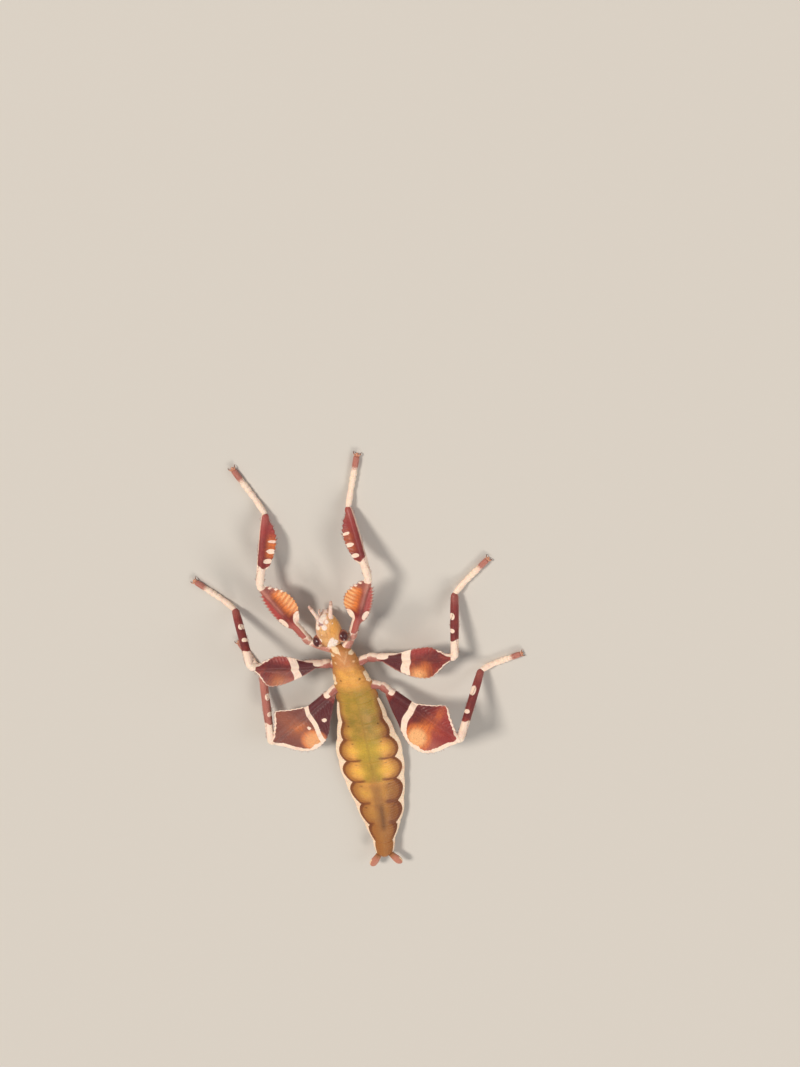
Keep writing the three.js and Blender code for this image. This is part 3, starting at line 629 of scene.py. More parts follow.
def tube_part(path, radius, columns=24, flatness=1.0, **marks):
    """A round tube along a path: each point's section is square to the path, radius wide, and flatness
    times that high. Each mark is a number per point of the path."""
    heading = unit(np.gradient(path, axis=0))
    side = unit(np.cross(heading, (0, 0, 1.0)))
    up = np.cross(side, heading)
    turn = np.linspace(0, 2 * math.pi, columns, endpoint=False)[None, :, None]
    reach = radius.reshape(-1, 1, 1)
    points = (path[:, None, :] + side[:, None, :] * np.cos(turn) * reach
              + up[:, None, :] * np.sin(turn) * reach * flatness)
    return sheet_part(points, **{name: np.reshape(mark, (-1, 1)) for name, mark in marks.items()})


def bow(start, bend, end, count):
    """A curve from start to end drawn towards bend: the quadratic with those three control points."""
    t = np.linspace(0, 1, count)[:, None]
    return (1 - t) ** 2 * np.asarray(start) + 2 * t * (1 - t) * np.asarray(bend) + t * t * np.asarray(end)


def rounded(t, ends=0.04):
    """1 along a tube and falling to a small tip at both ends, as a circle does."""
    near = np.minimum(t, 1 - t) / ends
    return np.sqrt(np.clip(1 - (1 - np.clip(near, 0, 1)) ** 2, 0.0025, 1))


def in_joints(t, joints):
    """Which joint each place is in, and how far through it."""
    number = np.clip(np.searchsorted(joints, t, side="right") - 1, 0, len(joints) - 2)
    return number, (t - joints[number]) / (joints[number + 1] - joints[number])


def antenna_part(mirror):
    """Beads in a row: the radius dips at each joint, thick at the socket and slender further out."""
    root = on_head(0.8, mirror * 0.26, 0.12)
    tip = on_head(0.84, mirror * 0.6, 0.4) + ahead * (ANTENNA_LENGTH - 0.06)
    t = np.linspace(0, 1, 180)
    bead, in_bead = in_joints(t, ANTENNA_JOINTS)
    swell = 0.82 + 0.18 * np.sin(math.pi * in_bead ** 1.3) ** 0.7
    radius = curve_through([(0, 0.17), (0.16, 0.16), (0.3, 0.115), (0.6, 0.1), (0.85, 0.095), (1, 0.06)])(t)
    return tube_part(bow(root, (root + tip) / 2 + head_up * 0.06, tip, len(t)), radius * swell * rounded(t),
                     dark=ramp(0.6, 1.0, t) * 0.6 + 0.25 * (bead % 2),
                     joint=1 - np.sin(math.pi * in_bead) ** 0.5)


def palp_part(path, thick):
    """A palp of five joints along a path: the radius dips at each joint and shrinks towards the tip."""
    t = np.linspace(0, 1, len(path))
    in_joint = (t * 5) % 1.0
    radius = thick * (0.75 + 0.25 * np.sin(math.pi * in_joint)) * rounded(t) * (1 - 0.25 * t)
    return tube_part(path, radius, columns=16, dark=0.25 + 0.5 * ramp(0.7, 1, t),
                     joint=1 - np.sin(math.pi * in_joint) ** 0.5)


def lobe_part(middle, forward_mm, out_mm, up_mm, tilt, dark):
    """A smooth pad on the face: an ellipsoid with its three half sizes, its long way tilted down by tilt."""
    polar = np.linspace(0.03, math.pi - 0.03, 40)[:, None]
    turned = np.linspace(0, 2 * math.pi, 48, endpoint=False)[None, :]
    long_way = ahead * math.cos(tilt) - head_up * math.sin(tilt)
    high_way = ahead * math.sin(tilt) + head_up * math.cos(tilt)
    blunted = np.sign(np.cos(polar)) * np.abs(np.cos(polar)) ** 0.8
    points = (middle + long_way * (forward_mm * blunted + 0 * turned)[..., None]
              + head_side * (out_mm * np.sin(polar) * np.cos(turned))[..., None]
              + high_way * (up_mm * np.sin(polar) * np.sin(turned))[..., None])
    return sheet_part(points, dark=dark + 0.25 * ramp(0.5, 1, np.cos(polar)), joint=0)


# upper lip in two folds and lower lip, then on each side a jaw, a long palp and a short one
mouth_parts = [
    lobe_part(on_head(0.93, 0, -0.22), 0.2, 0.2, 0.09, 0.9, 0.1),
    lobe_part(on_head(0.98, 0, -0.38), 0.13, 0.15, 0.06, 1.1, 0.15),
    lobe_part(on_head(0.84, 0, -0.42), 0.17, 0.2, 0.1, 0.75, 0.35),
]
for mirror, _ in SIDES:
    mouth_parts += [
        lobe_part(on_head(0.9, mirror * 0.2, -0.36), 0.17, 0.09, 0.13, 0.9, 0.45),
        palp_part(bow(on_head(0.84, mirror * 0.25, -0.36), on_head(0.98, mirror * 0.42, -0.42),
                      on_head(1.05, mirror * 0.26, -0.56), 70), 0.048),
        palp_part(bow(on_head(0.84, mirror * 0.1, -0.46), on_head(0.95, mirror * 0.2, -0.58),
                      on_head(1.02, mirror * 0.1, -0.62), 50), 0.038),
    ]

feeler_finish = Finish("feelers and mouthparts", (0.86, 0.64, 0.54))
fine = feeler_finish.noise(0.05, detail=5.0)
feeler_finish.lay((0.55, 0.30, 0.2), feeler_finish.spread(fine, 0.45, 0.75, 0.0, 0.5))
feeler_finish.lay((0.32, 0.12, 0.08), feeler_finish.spread(feeler_finish.mark("dark"), 0.1, 1.0, 0.0, 0.85))
feeler_finish.lay((0.88, 0.74, 0.64), feeler_finish.spread(feeler_finish.mark("joint"), 0.5, 0.9, 0.0, 0.8))
feeler_finish.relief((fine, 0.006))
feeler_material = feeler_finish.done(0.42, glow_mm=0.08, glow=0.2, coat=0.1)
for mirror, hand in SIDES:
    make_piece(f"feeler_{hand}", [antenna_part(mirror)], feeler_material, [f"antenna_{hand}"])
make_piece("mouth", mouth_parts, feeler_material, ["mouthparts"])


# ---- Legs: coxa, thigh, shin and foot ------------------------------------------------------------
# Each leg is a row of stiff hollow lengths, rooted in the thorax. A thigh and a fore shin carry thin
# leaf-like lobes before and behind the shaft, with cross veins, small teeth and stiff hairs on the rims.
# Maroon, with white bands and knees and a pale foot that lies on soft pads; the orange and yellow on the
# lobes are painted glow of light shining through them.
LEG_EDGE = 0.04         # half thickness of a lobe at its rim
RIM_INSET = 0.045       # how far a lobe's rim lies inside the outline of its solid
TOOTH_PITCH, VEIN_PITCH = 0.23, 0.19
ANKLE_HEIGHT, TOE_HEIGHT = 0.36, 0.24
FOOT_HEIGHT = 0.15      # middle of the visible foot above the floor
COXA_ROOT_OUT = 0.5     # how far out on the trunk a coxa is rooted, as a share of its half width
THIGH_FROM, HIP_TO = 0.05, 0.12     # shares of hip to knee where the thigh starts and its hip joint ends
THIGH_COLUMNS, SHIN_COLUMNS = 96, 60
HAIR_COUNT, HAIR_LENGTH, HAIR_VARIES, HAIR_SUNK = 130, 0.14, 0.04, 0.025
HAIR_FOOT, HAIR_MIDDLE = 0.011, 0.007       # how thick a hair is, from its middle line to a corner
GOLDEN_SHARE = 0.618034
# lengths of a thigh, shin and foot, where the coxae leave the trunk, their paleness, and the thigh's bite
PAIRS = {
    "fore": ((4.48, 3.69, 2.88), -2.38, 1.0, 0.06),
    "middle": ((4.55, 3.37, 2.58), -1.3, 0.0, 0.03),
    "hind": ((5.09, 3.87, 2.31), 0.05, 0.0, 0.03),
}
# by place from the near end 0 to the far end 1: half thickness of each shaft, how far a coxa reaches
# sideways and how deep a shin's teeth are
COXA_REACH = curve_through([(0, 0.25), (0.5, 0.27), (0.85, 0.24), (1, 0.2)])
COXA_SHAFT = curve_through([(0, 0.24), (0.5, 0.25), (0.85, 0.22), (1, 0.19)])
THIGH_SHAFT = curve_through([(0, 0.2), (0.1, 0.22), (0.4, 0.23), (0.8, 0.2), (0.93, 0.19), (1, 0.2)])
SHIN_SHAFT = curve_through([(0, 0.19), (0.1, 0.21), (0.4, 0.225), (0.8, 0.225), (0.95, 0.2), (1, 0.19)])
SHIN_TEETH = curve_through([(0.3, 0.0), (0.4, 0.04), (0.85, 0.05), (0.95, 0.0)])
# how far each length reaches in front of its middle line and behind it, from NEAR_REACH at the near end
NEAR_REACH = 0.27
OUTLINES = {name: [curve_through([(0, NEAR_REACH), *stops]) for stops in both] for name, both in {
    "fore_thigh": (
        [(0.24, 0.3), (0.36, 0.62), (0.5, 0.92), (0.66, 1.0), (0.8, 0.82), (0.92, 0.42), (1, 0.28)],
        [(0.2, 0.36), (0.4, 0.58), (0.6, 0.58), (0.8, 0.46), (0.92, 0.32), (1, 0.28)]),
    "middle_thigh": (
        [(0.2, 0.32), (0.4, 0.44), (0.55, 0.62), (0.7, 0.7), (0.8, 0.5), (0.9, 0.33), (1, 0.28)],
        [(0.14, 0.42), (0.3, 0.9), (0.45, 1.28), (0.58, 1.42), (0.7, 1.34), (0.8, 0.94), (0.9, 0.46),
         (1, 0.28)]),
    "hind_thigh": (
        [(0.14, 0.32), (0.28, 0.36), (0.4, 0.44), (0.54, 0.88), (0.66, 1.3), (0.78, 0.82), (0.9, 0.38),
         (1, 0.28)],
        [(0.08, 0.5), (0.2, 0.92), (0.32, 1.32), (0.45, 1.82), (0.58, 2.1), (0.74, 2.02), (0.86, 1.5),
         (0.94, 0.76), (1, 0.3)]),
    "fore_shin": (
        [(0.18, 0.3), (0.34, 0.54), (0.5, 0.68), (0.7, 0.7), (0.84, 0.5), (0.94, 0.32), (1, 0.27)],
        [(0.3, 0.3), (0.6, 0.32), (0.9, 0.28), (1, 0.27)]),
    "middle_shin": ([(0.3, 0.3), (0.7, 0.32), (1, 0.27)], [(0.3, 0.29), (0.7, 0.3), (1, 0.27)]),
    "hind_shin": ([(0.3, 0.3), (0.7, 0.33), (1, 0.27)], [(0.3, 0.29), (0.7, 0.31), (1, 0.27)]),
}.items()}


def reach_of(place, length, heading, height):
    """Where a length ends that starts at place, runs at heading and finishes at that height."""
    run = math.sqrt(length ** 2 - (height - place[2]) ** 2)
    turned = math.radians(heading)
    return np.array([place[0] + run * math.cos(turned), place[1] + run * math.sin(turned), height])


def blade_part(start, end, mirror, outlines, shaft, paint, rows, columns, over=0.12, teeth=None, wave=0.0):
    """A leg length: across a section, x runs from minus back to plus front, closest together at the shaft.
    Half thickness is a thin edge that rounds off at the rim plus a ridge round the shaft. The rim has
    small teeth in a row, the lobes are slightly wavy with raised cross veins, and both ends are rounded.
    Paint is a function that works out marks from the places along and across and the distances to the
    front and back rims, and its settings."""
    painter, settings = paint
    length = np.linalg.norm(end - start)
    heading = unit(end - start)
    side = mirror * unit(np.cross((0, 0, 1.0), heading))
    up = mirror * np.cross(heading, side)
    t = np.linspace(-over / length, 1 + over / length, rows)[:, None]
    turn = np.linspace(0, 2 * math.pi, columns, endpoint=False)[None, :]
    spread = 0.35 * np.cos(turn) + 0.65 * np.cos(turn) ** 3
    held = np.clip(t, 0, 1)
    near = np.clip(np.minimum(t + over / length, 1 + over / length - t) * length / 0.2, 0, 1)
    closing = np.sqrt(np.clip(1 - (1 - near) ** 2, 0.0016, 1))
    thick = shaft(held)
    notch = 1 - between(0.0, 0.8, 0.84, 1.0, (held * length / TOOTH_PITCH) % 1.0)
    depth = notch * teeth(held) if teeth else 0
    reaches, steepness = [], []
    for outline in outlines:
        reach = np.maximum(outline(held) - RIM_INSET, thick)
        leafy_rim = ramp(thick + 0.04, thick + 0.2, reach)
        reach = leafy_rim * reach + (1 - leafy_rim) * thick
        steepness.append(np.sqrt(1 + np.gradient(reach[:, 0], t[:, 0] * length) ** 2)[:, None])
        reaches.append(reach - leafy_rim * depth)
    reach = np.where(spread > 0, *reaches)
    x = spread * reach * closing
    rim = LEG_EDGE * np.sqrt(np.clip(1 - spread ** 4, 0, 1))
    plate = rim + (thick - LEG_EDGE) * bump_at(x, thick * 0.9)
    rod = thick * np.sqrt(np.clip(1 - np.clip(np.abs(x) / (thick * closing), 0, 1) ** 2, 0, 1))
    leafy = ramp(thick + 0.02, thick + 0.2, reach)
    half = closing * (leafy * np.minimum(plate, thick) + (1 - leafy) * rod)
    half = np.where(np.abs(spread) > 0.9999, 0, half)
    veins = 0.009 * np.sin(2 * math.pi * (t * length - 0.55 * np.abs(x)) / VEIN_PITCH)
    half = half + veins * leafy * ramp(0.12, 0.4, np.abs(x)) * ramp(1.0, 0.85, np.abs(spread))
    lift = wave * leafy * np.sin(held * 11 + np.sign(x) * 0.8) * ramp(0.15, 0.7, np.abs(x))
    z = np.sign(np.round(np.sin(turn), 6)) * half + lift
    points = start + heading * (t * length)[..., None] + side * x[..., None] + up * z[..., None]
    to_front = (reaches[0] * closing - x) / steepness[0]
    to_back = (reaches[1] * closing + x) / steepness[1]
    return sheet_part(points, along=t * length, across=x, **painter(t, x, to_front, to_back, **settings))


def patch(t, x, place, offset, length, width, lean=0.0):
    """A soft-edged oval on a leg length, half faded at its rim. Lean shifts it along the leg as x grows."""
    return ramp(1.25, 0.75, np.hypot((t - place - lean * (x - offset)) / length, (x - offset) / width))


def paint_coxa(t, x, to_front, to_back, paleness):
    """Rosy brown with a cream streak in front and a pale far end."""
    streak = 0.8 * ramp(0.2, 0.0, to_front + 0.02 * np.sin(t * 7))
    return {"rose": 0.45 + 0.5 * paleness + 0.35 * ramp(0.3, 0.1, to_front),
            "dark": 0.5 * ramp(0.3, 0.05, to_back),
            "cream": np.clip(streak + 0.3 * ramp(0.7, 1.0, t) + 0.35 * paleness, 0, 1)}


def paint_fore_thigh(t, x, to_front, to_back):
    """White patches each side of the base joined to cream rims, a front lobe painted orange and crossed by
    yellow streaks as the glow of light shining through it, a brown knee end and a crimson rim behind."""
    tips = ramp(0.16, 0.06, to_front) * ramp(0.74, 0.8, t) * (0.3 + 0.7 * ramp(-0.2, 0.5, np.sin(t * 106)))
    cream = (1.2 * patch(t, x, 0.345, 0.42, 0.075, 0.28, 0.12) + 1.2 * patch(t, x, 0.365, -0.4, 0.08, 0.19)
             + ramp(0.93, 0.98, t) + tips + ramp(0.12, 0.05, to_front) * ramp(0.36, 0.3, t)
             + 0.7 * ramp(0.1, 0.04, to_back) * ramp(0.12, 0.06, t))
    streaks = 0.5 + 0.5 * np.sin(2 * math.pi * (t * 4.3 - 0.5 * x) / 0.3 + 0.6 * np.sin(t * 9))
    rose = (0.7 * bump_at(x + 0.02, 0.13) * ramp(0.45, 0.6, t)
            + 0.4 * ramp(0.74, 0.84, t) * ramp(-0.2, -0.05, x) + 0.4 * ramp(0.4, 0.25, t)
            + ramp(0.1, 0.02, to_back) + 0.5 * ramp(0.06, 0.01, to_front))
    crimson = ramp(-0.12, -0.24, x) * ramp(0.42, 0.5, t) + 0.7 * ramp(0.4, 0.3, t)
    return {"cream": np.clip(cream, 0, 1), "rose": np.clip(rose, 0, 1), "crimson": np.clip(crimson, 0, 1),
            # orange and yellow are painted glow of light shining through the front lobe
            "orange": ramp(0.02, 0.3, x) * between(0.4, 0.46, 0.78, 0.88, t),
            "yellow": (ramp(0.28, 0.6, x) * between(0.42, 0.47, 0.76, 0.86, t)
                       * (0.25 + 0.75 * ramp(0.25, 0.75, streaks))),
            "dark": 0.3 * ramp(0.8, 0.9, t) * ramp(0.1, 0.3, x)}


def paint_middle_thigh(t, x, to_front, to_back, band_place, band_lean, lit):
    """White base patch, dark near lobe, white cross band and a red-brown far lobe. Lit sets how strongly an
    orange and yellow patch behind is painted as the glow of light shining through the lobe; below 1, painted
    shade darkens the middle of the far part and more rose is laid behind."""
    from_band = t - band_place - band_lean * x
    cream = (ramp(0.062, 0.044, np.abs(from_band + 0.008 * np.sin(x * 7)))
             + patch(t, x, 0.12, 0.14, 0.08, 0.13) + ramp(0.93, 0.98, t)
             + ramp(0.09, 0.04, np.minimum(to_front, to_back)) * ramp(0.74, 0.82, t)
             + 0.7 * ramp(0.05, 0.02, to_front) * ramp(0.5, 0.4, t)
             + 0.6 * ramp(0.06, 0.02, to_back) * ramp(0.45, 0.5, t))
    # orange and yellow are painted glow of light shining through the lobe, as strong as lit; the (1 - lit)
    # term in dark is painted shade
    orange = (lit * spot_at((t - band_place - 0.15) / 0.13, (x + 1.0) / 0.42, 1.0)
              + 0.5 * lit ** 2 * spot_at((t - 0.64) / 0.06, (x + 0.5) / 0.35, 1.0))
    yellow = 0.9 * lit ** 2 * spot_at((t - band_place - 0.14) / 0.085, (x + 1.12) / 0.37, 1.0)
    dark = (ramp(0.1, 0.16, t) * ramp(0.02, -0.04, from_band) + 0.5 * patch(t, x, 0.72, 0.0, 0.12, 0.4)
            + 1.2 * (1 - lit) * spot_at((t - 0.58) / 0.1, (x + 0.15) / 0.22, 1.0))
    rose = (ramp(0.12, 0.04, t) + 0.8 * ramp(0.07, 0.0, to_front) + ramp(0.1, 0.02, to_back)
            + 0.5 * (1.2 - lit) * patch(t, x, 0.45, -1.15, 0.12, 0.3))
    return {"cream": np.clip(cream, 0, 1), "orange": 0.85 * orange, "yellow": yellow, "dark": dark,
            "rose": np.clip(rose, 0, 1),
            "crimson": 0.55 * ramp(0.05, 0.3, x) * ramp(0.0, 0.05, from_band) * ramp(0.8, 0.65, t)}


def paint_hind_thigh(t, x, to_front, to_back, band_place, band_lean, band_bend, band_width, dull):
    """White base spot, dark near lobe, a white band that runs outwards behind, a broad far lobe painted
    orange and yellow, brightest yellow at its inner corner, as the glow of light shining through it, and a
    cream hem round the back and over the knee. Dull paints the far lobe as less lit: much of that glow goes,
    the lobe turns browner and rosier, darker at the knee and less crimson, two pale spots are added and the
    hem moves."""
    band_line = band_place - band_lean * x + band_bend * np.clip(-x - 0.3, 0, None) ** 2
    from_band = t - band_line + 0.006 * np.sin(x * 5)
    past_band = ramp(0.0, 0.05, from_band)
    hem_width = ((0.2 + 0.02 * dull) * (0.55 + 0.45 * ramp(0.4 + 0.16 * dull, 0.5 + 0.2 * dull, t))
                 * (1 + 0.25 * np.sin(t * 31)))
    hem = ramp(hem_width + 0.04, hem_width - 0.03, to_back) * ramp(0.38 + 0.1 * dull, 0.42 + 0.2 * dull, t)
    front_hem = ramp(0.13, 0.06, to_front) * ramp(0.66, 0.72, t) + 0.8 * ramp(0.08, 0.02, to_front)
    cream = (ramp(band_width, 0.6 * band_width, np.abs(from_band)) + hem + front_hem * ramp(0.38, 0.42, t)
             + patch(t, x, 0.08, 0.12, 0.04, 0.2) + ramp(0.93, 0.98, t)
             + dull * patch(t, x, 0.56, -0.8, 0.02, 0.1) + 0.8 * dull * patch(t, x, 0.36, -1.0, 0.03, 0.14))
    # oval, orange and yellow are painted glow of light shining through the far lobe, which dull lowers
    oval = np.hypot((t - 0.6 - 0.04 * dull) / 0.13, (x + 1.38 + 0.2 * dull) / 0.7)
    orange = (0.55 * spot_at((t - 0.63) / 0.1, (x + 0.35) / 0.4, 1.0)
              + 0.45 * (1 - 0.8 * dull) * spot_at((t - 0.66) / 0.045, (x - 0.6) / 0.5, 1.0)
              + 0.8 * ramp(1.5 - 0.3 * dull, 0.9, oval))
    dark = (ramp(0.1, 0.15, t) * ramp(0.02, -0.03, from_band)
            + 0.7 * ramp(0.0, 0.03, from_band) * ramp(0.6, 0.5, t) * ramp(-1.0, -0.5, x)
            + (0.1 + 0.4 * dull) * ramp(0.7, 0.82, t))
    rose = (ramp(0.1, 0.02, t) + 0.2 * dull * past_band + 0.5 * dull * ramp(1.3, 0.7, oval)
            + 0.45 * (1 - dull) * ramp(-0.6, -1.3, x) * ramp(0.6, 0.74, t))
    return {"cream": np.clip(cream, 0, 1), "orange": np.clip(orange, 0, 1), "dark": dark,
            "yellow": (1.0 - 0.35 * dull) * ramp(1.05, 0.5, oval), "rose": np.clip(rose, 0, 1),
            "dull": dull * past_band, "crimson": 0.5 * (1 - dull) * ramp(0.56, 0.7, t)}


def paint_shin(t, x, to_front, to_back, white_to, spots, lobe_glow=0.0, wash=0.0):
    """A white near end, then maroon with pale spots on the inner side; orange painted on a lobe where there
    is one, as the glow of light shining through it, and a rosy wash over the rest."""
    leafy = 1.0 if lobe_glow else 0.0
    cream = (ramp(white_to + 0.03, white_to - 0.03, t + 0.02 * np.sin(x * 11))
             + 0.55 * leafy * ramp(0.08, 0.03, to_back))
    for place, size in spots:
        cream = cream + patch(t, x, place, x + to_front - 0.09 - 0.08 * leafy, size, 0.13 + 0.09 * leafy)
    rose = wash + 0.8 * ramp(0.06, 0.01, to_back) + 0.25 * ramp(0.8, 0.92, t)
    dark = 0.4 * ramp(0.25, 0.4, t) * (1 - 0.7 * lobe_glow) + 0.25 * bump_at(t - white_to - 0.08, 0.06)
    return {"cream": np.clip(cream, 0, 1), "rose": np.clip(rose, 0, 1), "dark": dark * (1 - wash),
            # orange is painted glow of light shining through a lobe
            "orange": 0.85 * lobe_glow * ramp(0.05, 0.35, x) * between(0.36, 0.46, 0.6, 0.8, t),
            "crimson": (0.15 + 0.2 * leafy + (0.3 + 0.2 * leafy) * ramp(0.6, 0.8, t)) * ramp(0.2, 0.35, t)}


# each leg's hip place, knee height, headings in degrees of thigh, shin and foot, and its two paints
# lit, dull and the fore shins' lobe setting give each lobe its strength of painted glow of light, so that
# the two sides differ
LEGS = {
    "fore_left": ((2.74, -2.8, 0.98), 1.5, (295.5, 257, 294.5), (paint_fore_thigh, {}), (paint_shin, {
        "white_to": 0.27, "spots": ((0.36, 0.035), (0.5, 0.035), (0.64, 0.02)), "lobe_glow": 0.85})),
    "fore_right": ((0.5, -2.84, 1.0), 2.1, (250.4, 281.2, 253.4), (paint_fore_thigh, {}), (paint_shin, {
        "white_to": 0.27, "spots": ((0.35, 0.03), (0.51, 0.03), (0.67, 0.02)), "lobe_glow": 0.4})),
    "middle_left": ((1.88, -1.41, 1.15), 3.13, (336.7, 292.5, 313.7), (paint_middle_thigh, {
        "band_place": 0.435, "band_lean": 0.13, "lit": 0.5}), (paint_shin, {
            "white_to": 0.26, "spots": ((0.44, 0.035), (0.67, 0.05))})),
    "middle_right": ((-0.18, -1.54, 1.15), 1.47, (175.8, 263.3, 222.8), (paint_middle_thigh, {
        "band_place": 0.415, "band_lean": 0.025, "lit": 1.0}), (paint_shin, {
            "white_to": 0.28, "spots": ((0.43, 0.035), (0.66, 0.055))})),
    "hind_left": ((1.71, 0.17, 1.15), 1.28, (37.2, 268.5, 293.1), (paint_hind_thigh, {
        "band_place": 0.405, "band_lean": 0.09, "band_bend": 0.0, "band_width": 0.036, "dull": 1.0}),
        (paint_shin, {"white_to": 0.3, "spots": ((0.44, 0.035), (0.7, 0.05)), "wash": 0.75})),
    "hind_right": ((-0.63, 0.32, 1.15), 2.86, (143.6, 240.2, 196.8), (paint_hind_thigh, {
        "band_place": 0.37, "band_lean": 0.004, "band_bend": 0.035, "band_width": 0.046, "dull": 0.0}),
        (paint_shin, {"white_to": 0.27, "spots": ((0.4, 0.03), (0.7, 0.07))})),
}


def foot_part(ankle, toe):
    """Five joints in a row: the radius dips at each joint and the underside is flattened by soft pads.
    The middle line sinks from the ankle until the pads lie on the floor."""
    t = np.linspace(0, 1, 220)
    path = ankle + (toe - ankle) * t[:, None]
    path[:, 2] = curve_through([(0, ANKLE_HEIGHT - 0.02), (0.12, 0.25), (0.3, FOOT_HEIGHT),
                                (1, FOOT_HEIGHT)])(t)
    in_part = in_joints(t, np.array([0.0, 0.34, 0.48, 0.59, 0.69, 1.0]))[1]
    swell = 0.8 + 0.2 * np.sin(math.pi * np.clip(in_part, 0, 1) ** 1.4) ** 0.7
    radius = curve_through([(0, 0.17), (0.3, 0.16), (0.65, 0.17), (0.9, 0.155), (1, 0.165)])(t)
    flat, faces, marks = tube_part(path, radius * swell * rounded(t, 0.03), columns=32, along=t * 3,
                                   cream=ramp(0.95, 0.6, t) * (0.55 + 0.45 * swell),
                                   dark=0.25 * ramp(0.8, 1, t), rose=0.9 * ramp(0.5, 0.9, t))
    return np.maximum(flat, (-np.inf, -np.inf, 0.004)), faces, marks


def hair_part(blade, columns):
    """Stiff little hairs along both rims of a leg length: each is a three-sided spike rooted in the blade's
    own surface, which leans outwards along the leg. On a lobe they stand in its rim, and on a bare shaft
    they fan out round it. Their places step on by the golden share, so no two rows match."""
    grid = blade[0].reshape(-1, columns, 3)
    index = np.arange(HAIR_COUNT)
    row = ((0.08 + 0.85 * ((index * GOLDEN_SHARE) % 1.0)) * len(grid)).astype(int)
    rim = np.where(index % 2 == 0, 0, columns // 2)
    centre = (grid[row, columns // 4] + grid[row, 3 * columns // 4]) / 2
    fan = np.where(np.linalg.norm(grid[row, rim] - centre, axis=1) < 0.3, 0.127 * columns, 1.6)
    swing = np.sin(index * 2.4)
    root = grid[row, (rim + np.round(fan * swing).astype(int)) % columns]
    heading = unit(centre[row.argmax()] - centre[row.argmin()])
    outward = unit(root - centre)
    around = unit(np.cross(heading, outward))
    lean = unit(heading * 0.8 + outward * 0.8 + around * 0.3 * swing[:, None])
    across = unit(np.cross(lean, around))
    root = root - outward * HAIR_SUNK
    angle = np.arange(3)[:, None] * 2 * math.pi / 3
    corners = across[:, None] * np.cos(angle) + np.cross(lean, across)[:, None] * np.sin(angle)
    reach = lean * (HAIR_LENGTH + HAIR_VARIES * np.sin(index * 1.7))[:, None]
    points = np.concatenate([root[:, None] + corners * HAIR_FOOT,
                             (root + reach / 2)[:, None] + corners * HAIR_MIDDLE,
                             (root + reach)[:, None]], axis=1)
    base = index[:, None] * 7
    faces = (base + [2, 1, 0]).tolist()
    for corner in range(3):
        after = (corner + 1) % 3
        faces += (base + [corner, after, 3 + after, 3 + corner]).tolist()
        faces += (base + [3 + corner, 3 + after, 6]).tolist()
    return points.reshape(-1, 3), faces, {"rose": np.full(HAIR_COUNT * 7, 0.4)}


def claw_parts(ankle, toe):
    """Two hooked claws that spread from the end of the foot, thick at the root and sharp at the tip, and a
    round pad between them."""
    heading = unit((toe - ankle) * (1, 1, 0))
    side = np.cross((0, 0, 1.0), heading)
    root = np.array([toe[0], toe[1], FOOT_HEIGHT + 0.02]) - heading * 0.02
    t = np.linspace(0, 1, 40)
    parts = []
    for turn in (1, -1):
        bend = root + side * turn * 0.2 + heading * 0.16 + (0, 0, 0.07)
        tip = root + side * turn * 0.2 + heading * 0.19 - (0, 0, 0.15)
        parts.append(tube_part(bow(root + side * turn * 0.06, bend, tip, len(t)),
                               0.042 * (1 - 0.82 * t ** 1.3) * rounded(t, 0.05), columns=14,
                               dark=ramp(0.1, 0.8, t)))
    s = np.linspace(0, 1, 30)
    pad = bow(root - heading * 0.03, root + heading * 0.07 + (0, 0, 0.02),
              root + heading * 0.15 - (0, 0, 0.09), len(s))
    parts.append(tube_part(pad, (0.06 + 0.035 * s) * rounded(s, 0.35), columns=20, flatness=0.7, dark=0.1))
    return parts


leg_finish = Finish("leg cuticle", (0.22, 0.028, 0.026))
blotches = leg_finish.noise(0.3)
fine = leg_finish.noise(0.06, detail=6.0)
areoles = leg_finish.cells(0.14, "DISTANCE_TO_EDGE")
# the cross veins are noise that is fine along a length and coarse across it
vein_place = leg_finish.node("ShaderNodeCombineXYZ")
leg_finish.feed(leg_finish.math("MULTIPLY", leg_finish.mark("along"), 9.0), vein_place.inputs["X"])
leg_finish.feed(leg_finish.math("MULTIPLY", leg_finish.mark("across"), 1.5), vein_place.inputs["Y"])
vein_noise = leg_finish.node("ShaderNodeTexNoise")
vein_noise.inputs["Scale"].default_value = 1.0
vein_noise.inputs["Detail"].default_value = 3.0
leg_finish.feed(vein_place.outputs[0], vein_noise.inputs["Vector"])
veins = vein_noise.outputs["Fac"]
leg_finish.lay((0.38, 0.065, 0.036), leg_finish.spread(blotches, 0.45, 0.72, 0.0, 0.75))
leg_finish.lay((0.14, 0.025, 0.024), leg_finish.spread(veins, 0.5, 0.68, 0.0, 0.55))
# dull browns a less lit leg lobe as painted shade, and orange and yellow are painted glow of light shining
# through the lobes
leg_finish.tint(((0.21, 0.085, 0.05), "dull", 0.6),
                ((0.50, 0.075, 0.07), "crimson", 0.8),
                ((0.09, 0.018, 0.024), "dark", 0.85),
                ((0.58, 0.24, 0.185), "rose", 0.8),
                ((0.84, 0.24, 0.055), "orange", leg_finish.spread(veins, 0.36, 0.62, 1.0, 0.6)),
                ((0.97, 0.54, 0.24), "yellow", leg_finish.spread(fine, 0.3, 0.7, 0.95, 0.7)))
leg_finish.lay((0.15, 0.035, 0.025), leg_finish.spread(areoles, 0.05, 0.0, 0.0, 0.4))
leg_finish.lay((0.95, 0.74, 0.60), leg_finish.patchy("cream", fine, 0.6, 0.3, 0.7))
leg_finish.tint(((0.74, 0.38, 0.30), "cream", leg_finish.spread(blotches, 0.5, 0.72, 0.0, 0.4)))
leg_finish.lay((0.26, 0.08, 0.05), leg_finish.spread(fine, 0.62, 0.82, 0.0, 0.35))
leg_finish.relief((areoles, 0.022), (veins, 0.014), (leg_finish.cells(0.05), 0.012), (fine, 0.014))
leg_material = leg_finish.done(leg_finish.spread(fine, 0.3, 0.7, 0.34, 0.55), glow_mm=0.1, glow=0.12,
                               coat=0.12)

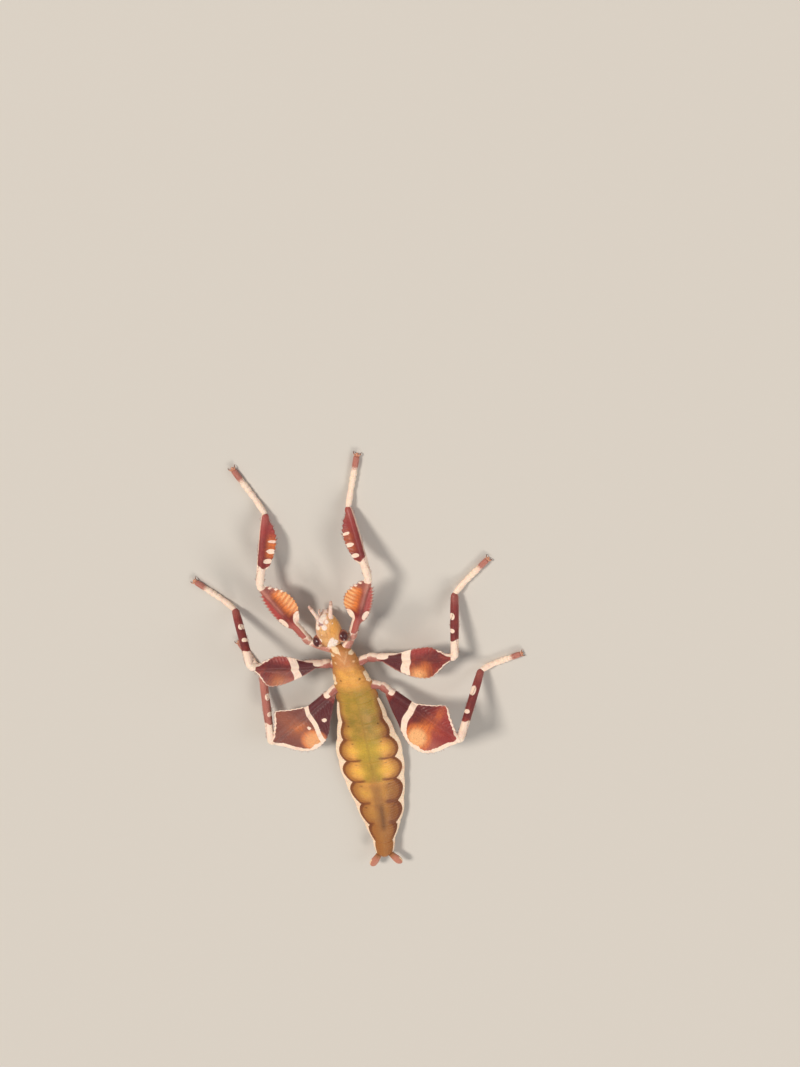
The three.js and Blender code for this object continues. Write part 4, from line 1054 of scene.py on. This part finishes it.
claw_finish = Finish("claws", (0.60, 0.28, 0.18))
fine = claw_finish.noise(0.04)
claw_finish.lay((0.42, 0.18, 0.1), claw_finish.spread(fine, 0.4, 0.7, 0.0, 0.6))
claw_finish.lay((0.11, 0.03, 0.02), claw_finish.spread(claw_finish.mark("dark"), 0.1, 0.9, 0.0, 0.9))
claw_finish.relief((fine, 0.003))
claw_material = claw_finish.done(0.25, glow_mm=0.03, glow=0.1, coat=0.3)

for key, (hip, knee_height, headings, thigh_paint, shin_paint) in LEGS.items():
    pair, hand = key.split("_")
    mirror = -1 if hand == "left" else 1
    (thigh_length, shin_length, foot_length), root_y, paleness, bite = PAIRS[pair]
    root = np.array([spine_x(root_y) - mirror * COXA_ROOT_OUT * trunk_width(root_y), root_y,
                     spine_z(root_y) - 0.06])
    hip = np.array(hip)
    knee = reach_of(hip, thigh_length, headings[0], knee_height)
    ankle = reach_of(knee, shin_length, headings[1], ANKLE_HEIGHT)
    toe = reach_of(ankle, foot_length, headings[2], TOE_HEIGHT)
    thigh_teeth = curve_through([(0.3, 0.0), (0.45, 0.8 * bite), (0.7, bite), (0.84, 1.5 * bite),
                                 (0.93, 0.0)])
    thigh = blade_part(hip + (knee - hip) * THIGH_FROM, knee, mirror, OUTLINES[f"{pair}_thigh"], THIGH_SHAFT,
                       thigh_paint, rows=340, columns=THIGH_COLUMNS, over=0.1, teeth=thigh_teeth, wave=0.035)
    shin = blade_part(knee, ankle, mirror, OUTLINES[f"{pair}_shin"], SHIN_SHAFT, shin_paint, rows=220,
                      columns=SHIN_COLUMNS, over=0.1, teeth=SHIN_TEETH, wave=0.015)
    coxa, hip_joint = (
        blade_part(start, end, mirror, (COXA_REACH, COXA_REACH), COXA_SHAFT,
                   (paint_coxa, {"paleness": paleness}), rows=rows, columns=40)
        for start, end, rows in ((root, hip, 40), (hip, hip + (knee - hip) * HIP_TO, 30)))
    make_piece(f"leg_{key}", [thigh, coxa, hip_joint, shin, foot_part(ankle, toe),
                              hair_part(thigh, THIGH_COLUMNS), hair_part(shin, SHIN_COLUMNS)],
               leg_material, [f"{part}_{key}" for part in ("coxa", "femur", "tibia", "tarsus")])
    make_piece(f"claws_{key}", claw_parts(ankle, toe), claw_material)
